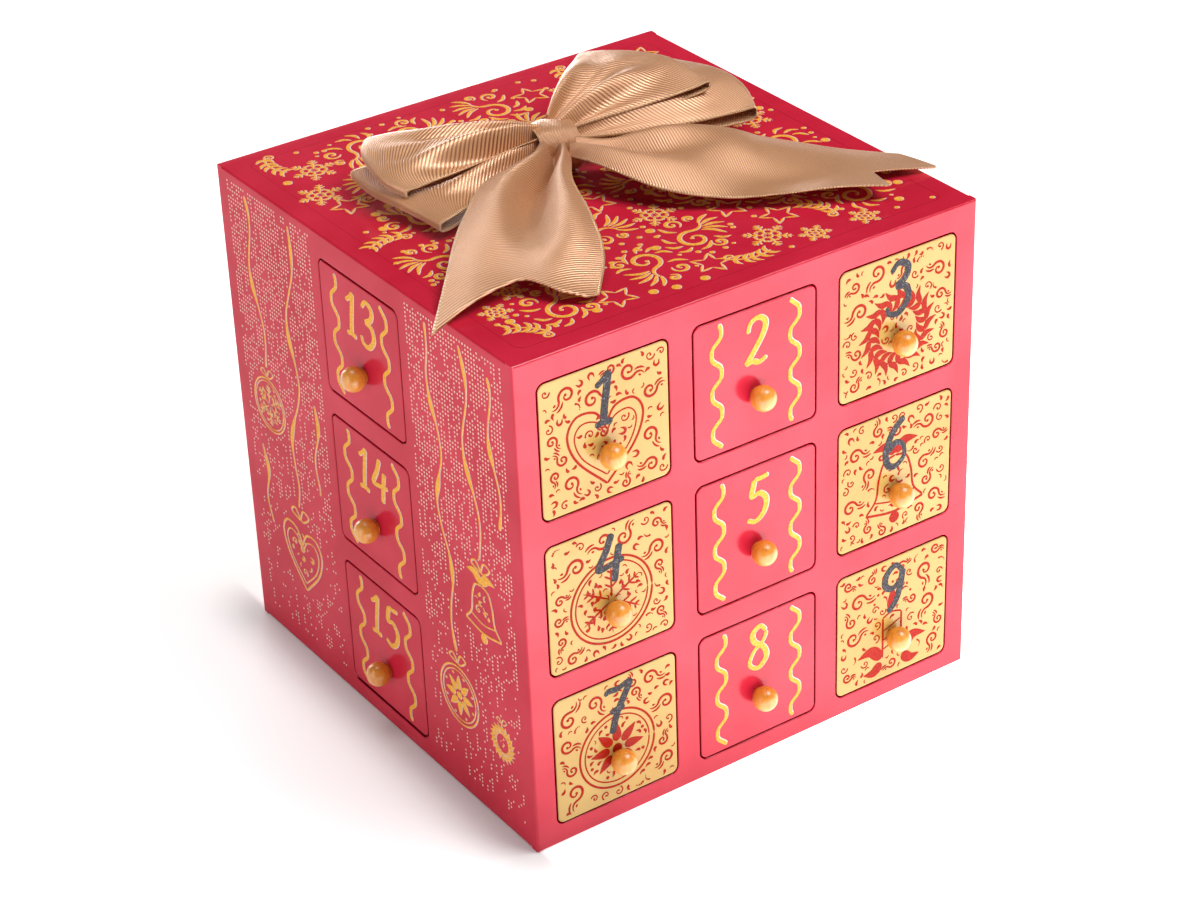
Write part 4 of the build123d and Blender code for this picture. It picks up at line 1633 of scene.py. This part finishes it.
def makeFloor():
    finish = Finish("paleFloor")
    x, y = finish.part(finish.place, "X"), finish.part(finish.place, "Y")
    # Painted light: the floor glows, brightest in front and to the right; painted shade: it glows less at
    # the left and behind the cube, where the cube's shadow falls
    far = finish.maths("SQRT", x * x + y * y)
    glow = finish.span(x * 0.55 - y * 0.83, -0.02, 0.13, 0.0, stage["glowFront"])
    near = finish.span(far, 0.14, 0.36, stage["glowNear"], stage["glowFar"])
    bright = finish.maths("MAXIMUM", glow, near)
    bright = finish.maths("MAXIMUM", bright, finish.span(far, 0.4, 1.0, 0.0, stage["glowEdge"]))
    # Painted shadow: a dark band on the floor where the cube's left side stands on it
    edge = halfSide * mm
    shade, soft = stage["shade"], stage["shadeEdge"]
    shadowBeside = finish.span(x, -edge - shade, -edge) * finish.span(x, -edge, -edge + soft, 1.0, 0.0)
    along = finish.span(finish.maths("ABSOLUTE", y), edge - soft, edge + shade, 1.0, 0.0)
    bright = bright * (1 - shadowBeside * shadowBeside * along * stage["shadeDepth"])
    colour = finish.add("ShaderNodeCombineColor", None, {0: bright, 1: bright, 2: bright})
    finish.set(Base_Color=stage["floorColour"], Roughness=0.7, Emission_Color=colour, Emission_Strength=1.0)
    half, low = stage["floor"] / 2, -stage["floorDrop"]
    corners = [(-half, -half, low), (half, -half, low), (half, half, low), (-half, half, low)]
    heap = Heap()
    heap.add(corners, [[0, 1, 2, 3]])
    makeObject("floor", heap, [finish.material])


def areaLight(name, light):
    data = bpy.data.lights.new(name, "AREA")
    data.shape = "RECTANGLE"
    data.size, data.size_y = light["size"]
    data.energy = light["power"]
    made = link(name, data)
    made.location = light["place"]
    made.rotation_mode = "QUATERNION"
    made.rotation_quaternion = (Vector(stage["target"]) - Vector(light["place"])).to_track_quat("-Z", "Y")


def makeWorld():
    # Dim for what the paint mirrors, white behind the floor's far edge
    world = bpy.data.worlds.new("studio")
    bpy.context.scene.world = world
    world.use_nodes = True
    world.node_tree.nodes.clear()
    graph = Graph(world.node_tree)
    dim = graph.add("ShaderNodeBackground", None, {0: stage["world"]})
    white = graph.add("ShaderNodeBackground", None, {0: (1, 1, 1)})
    seen = graph.add("ShaderNodeLightPath", None, None, "Is Camera Ray")
    sky = graph.add("ShaderNodeMixShader", None, {0: seen, 1: dim, 2: white})
    graph.add("ShaderNodeOutputWorld", None, {0: sky})


makeFloor()
for name, light in stage["lights"].items():
    areaLight(f"{name}Light", light)
makeWorld()
bpy.context.scene.view_settings.view_transform = "Standard"
print("stage set")
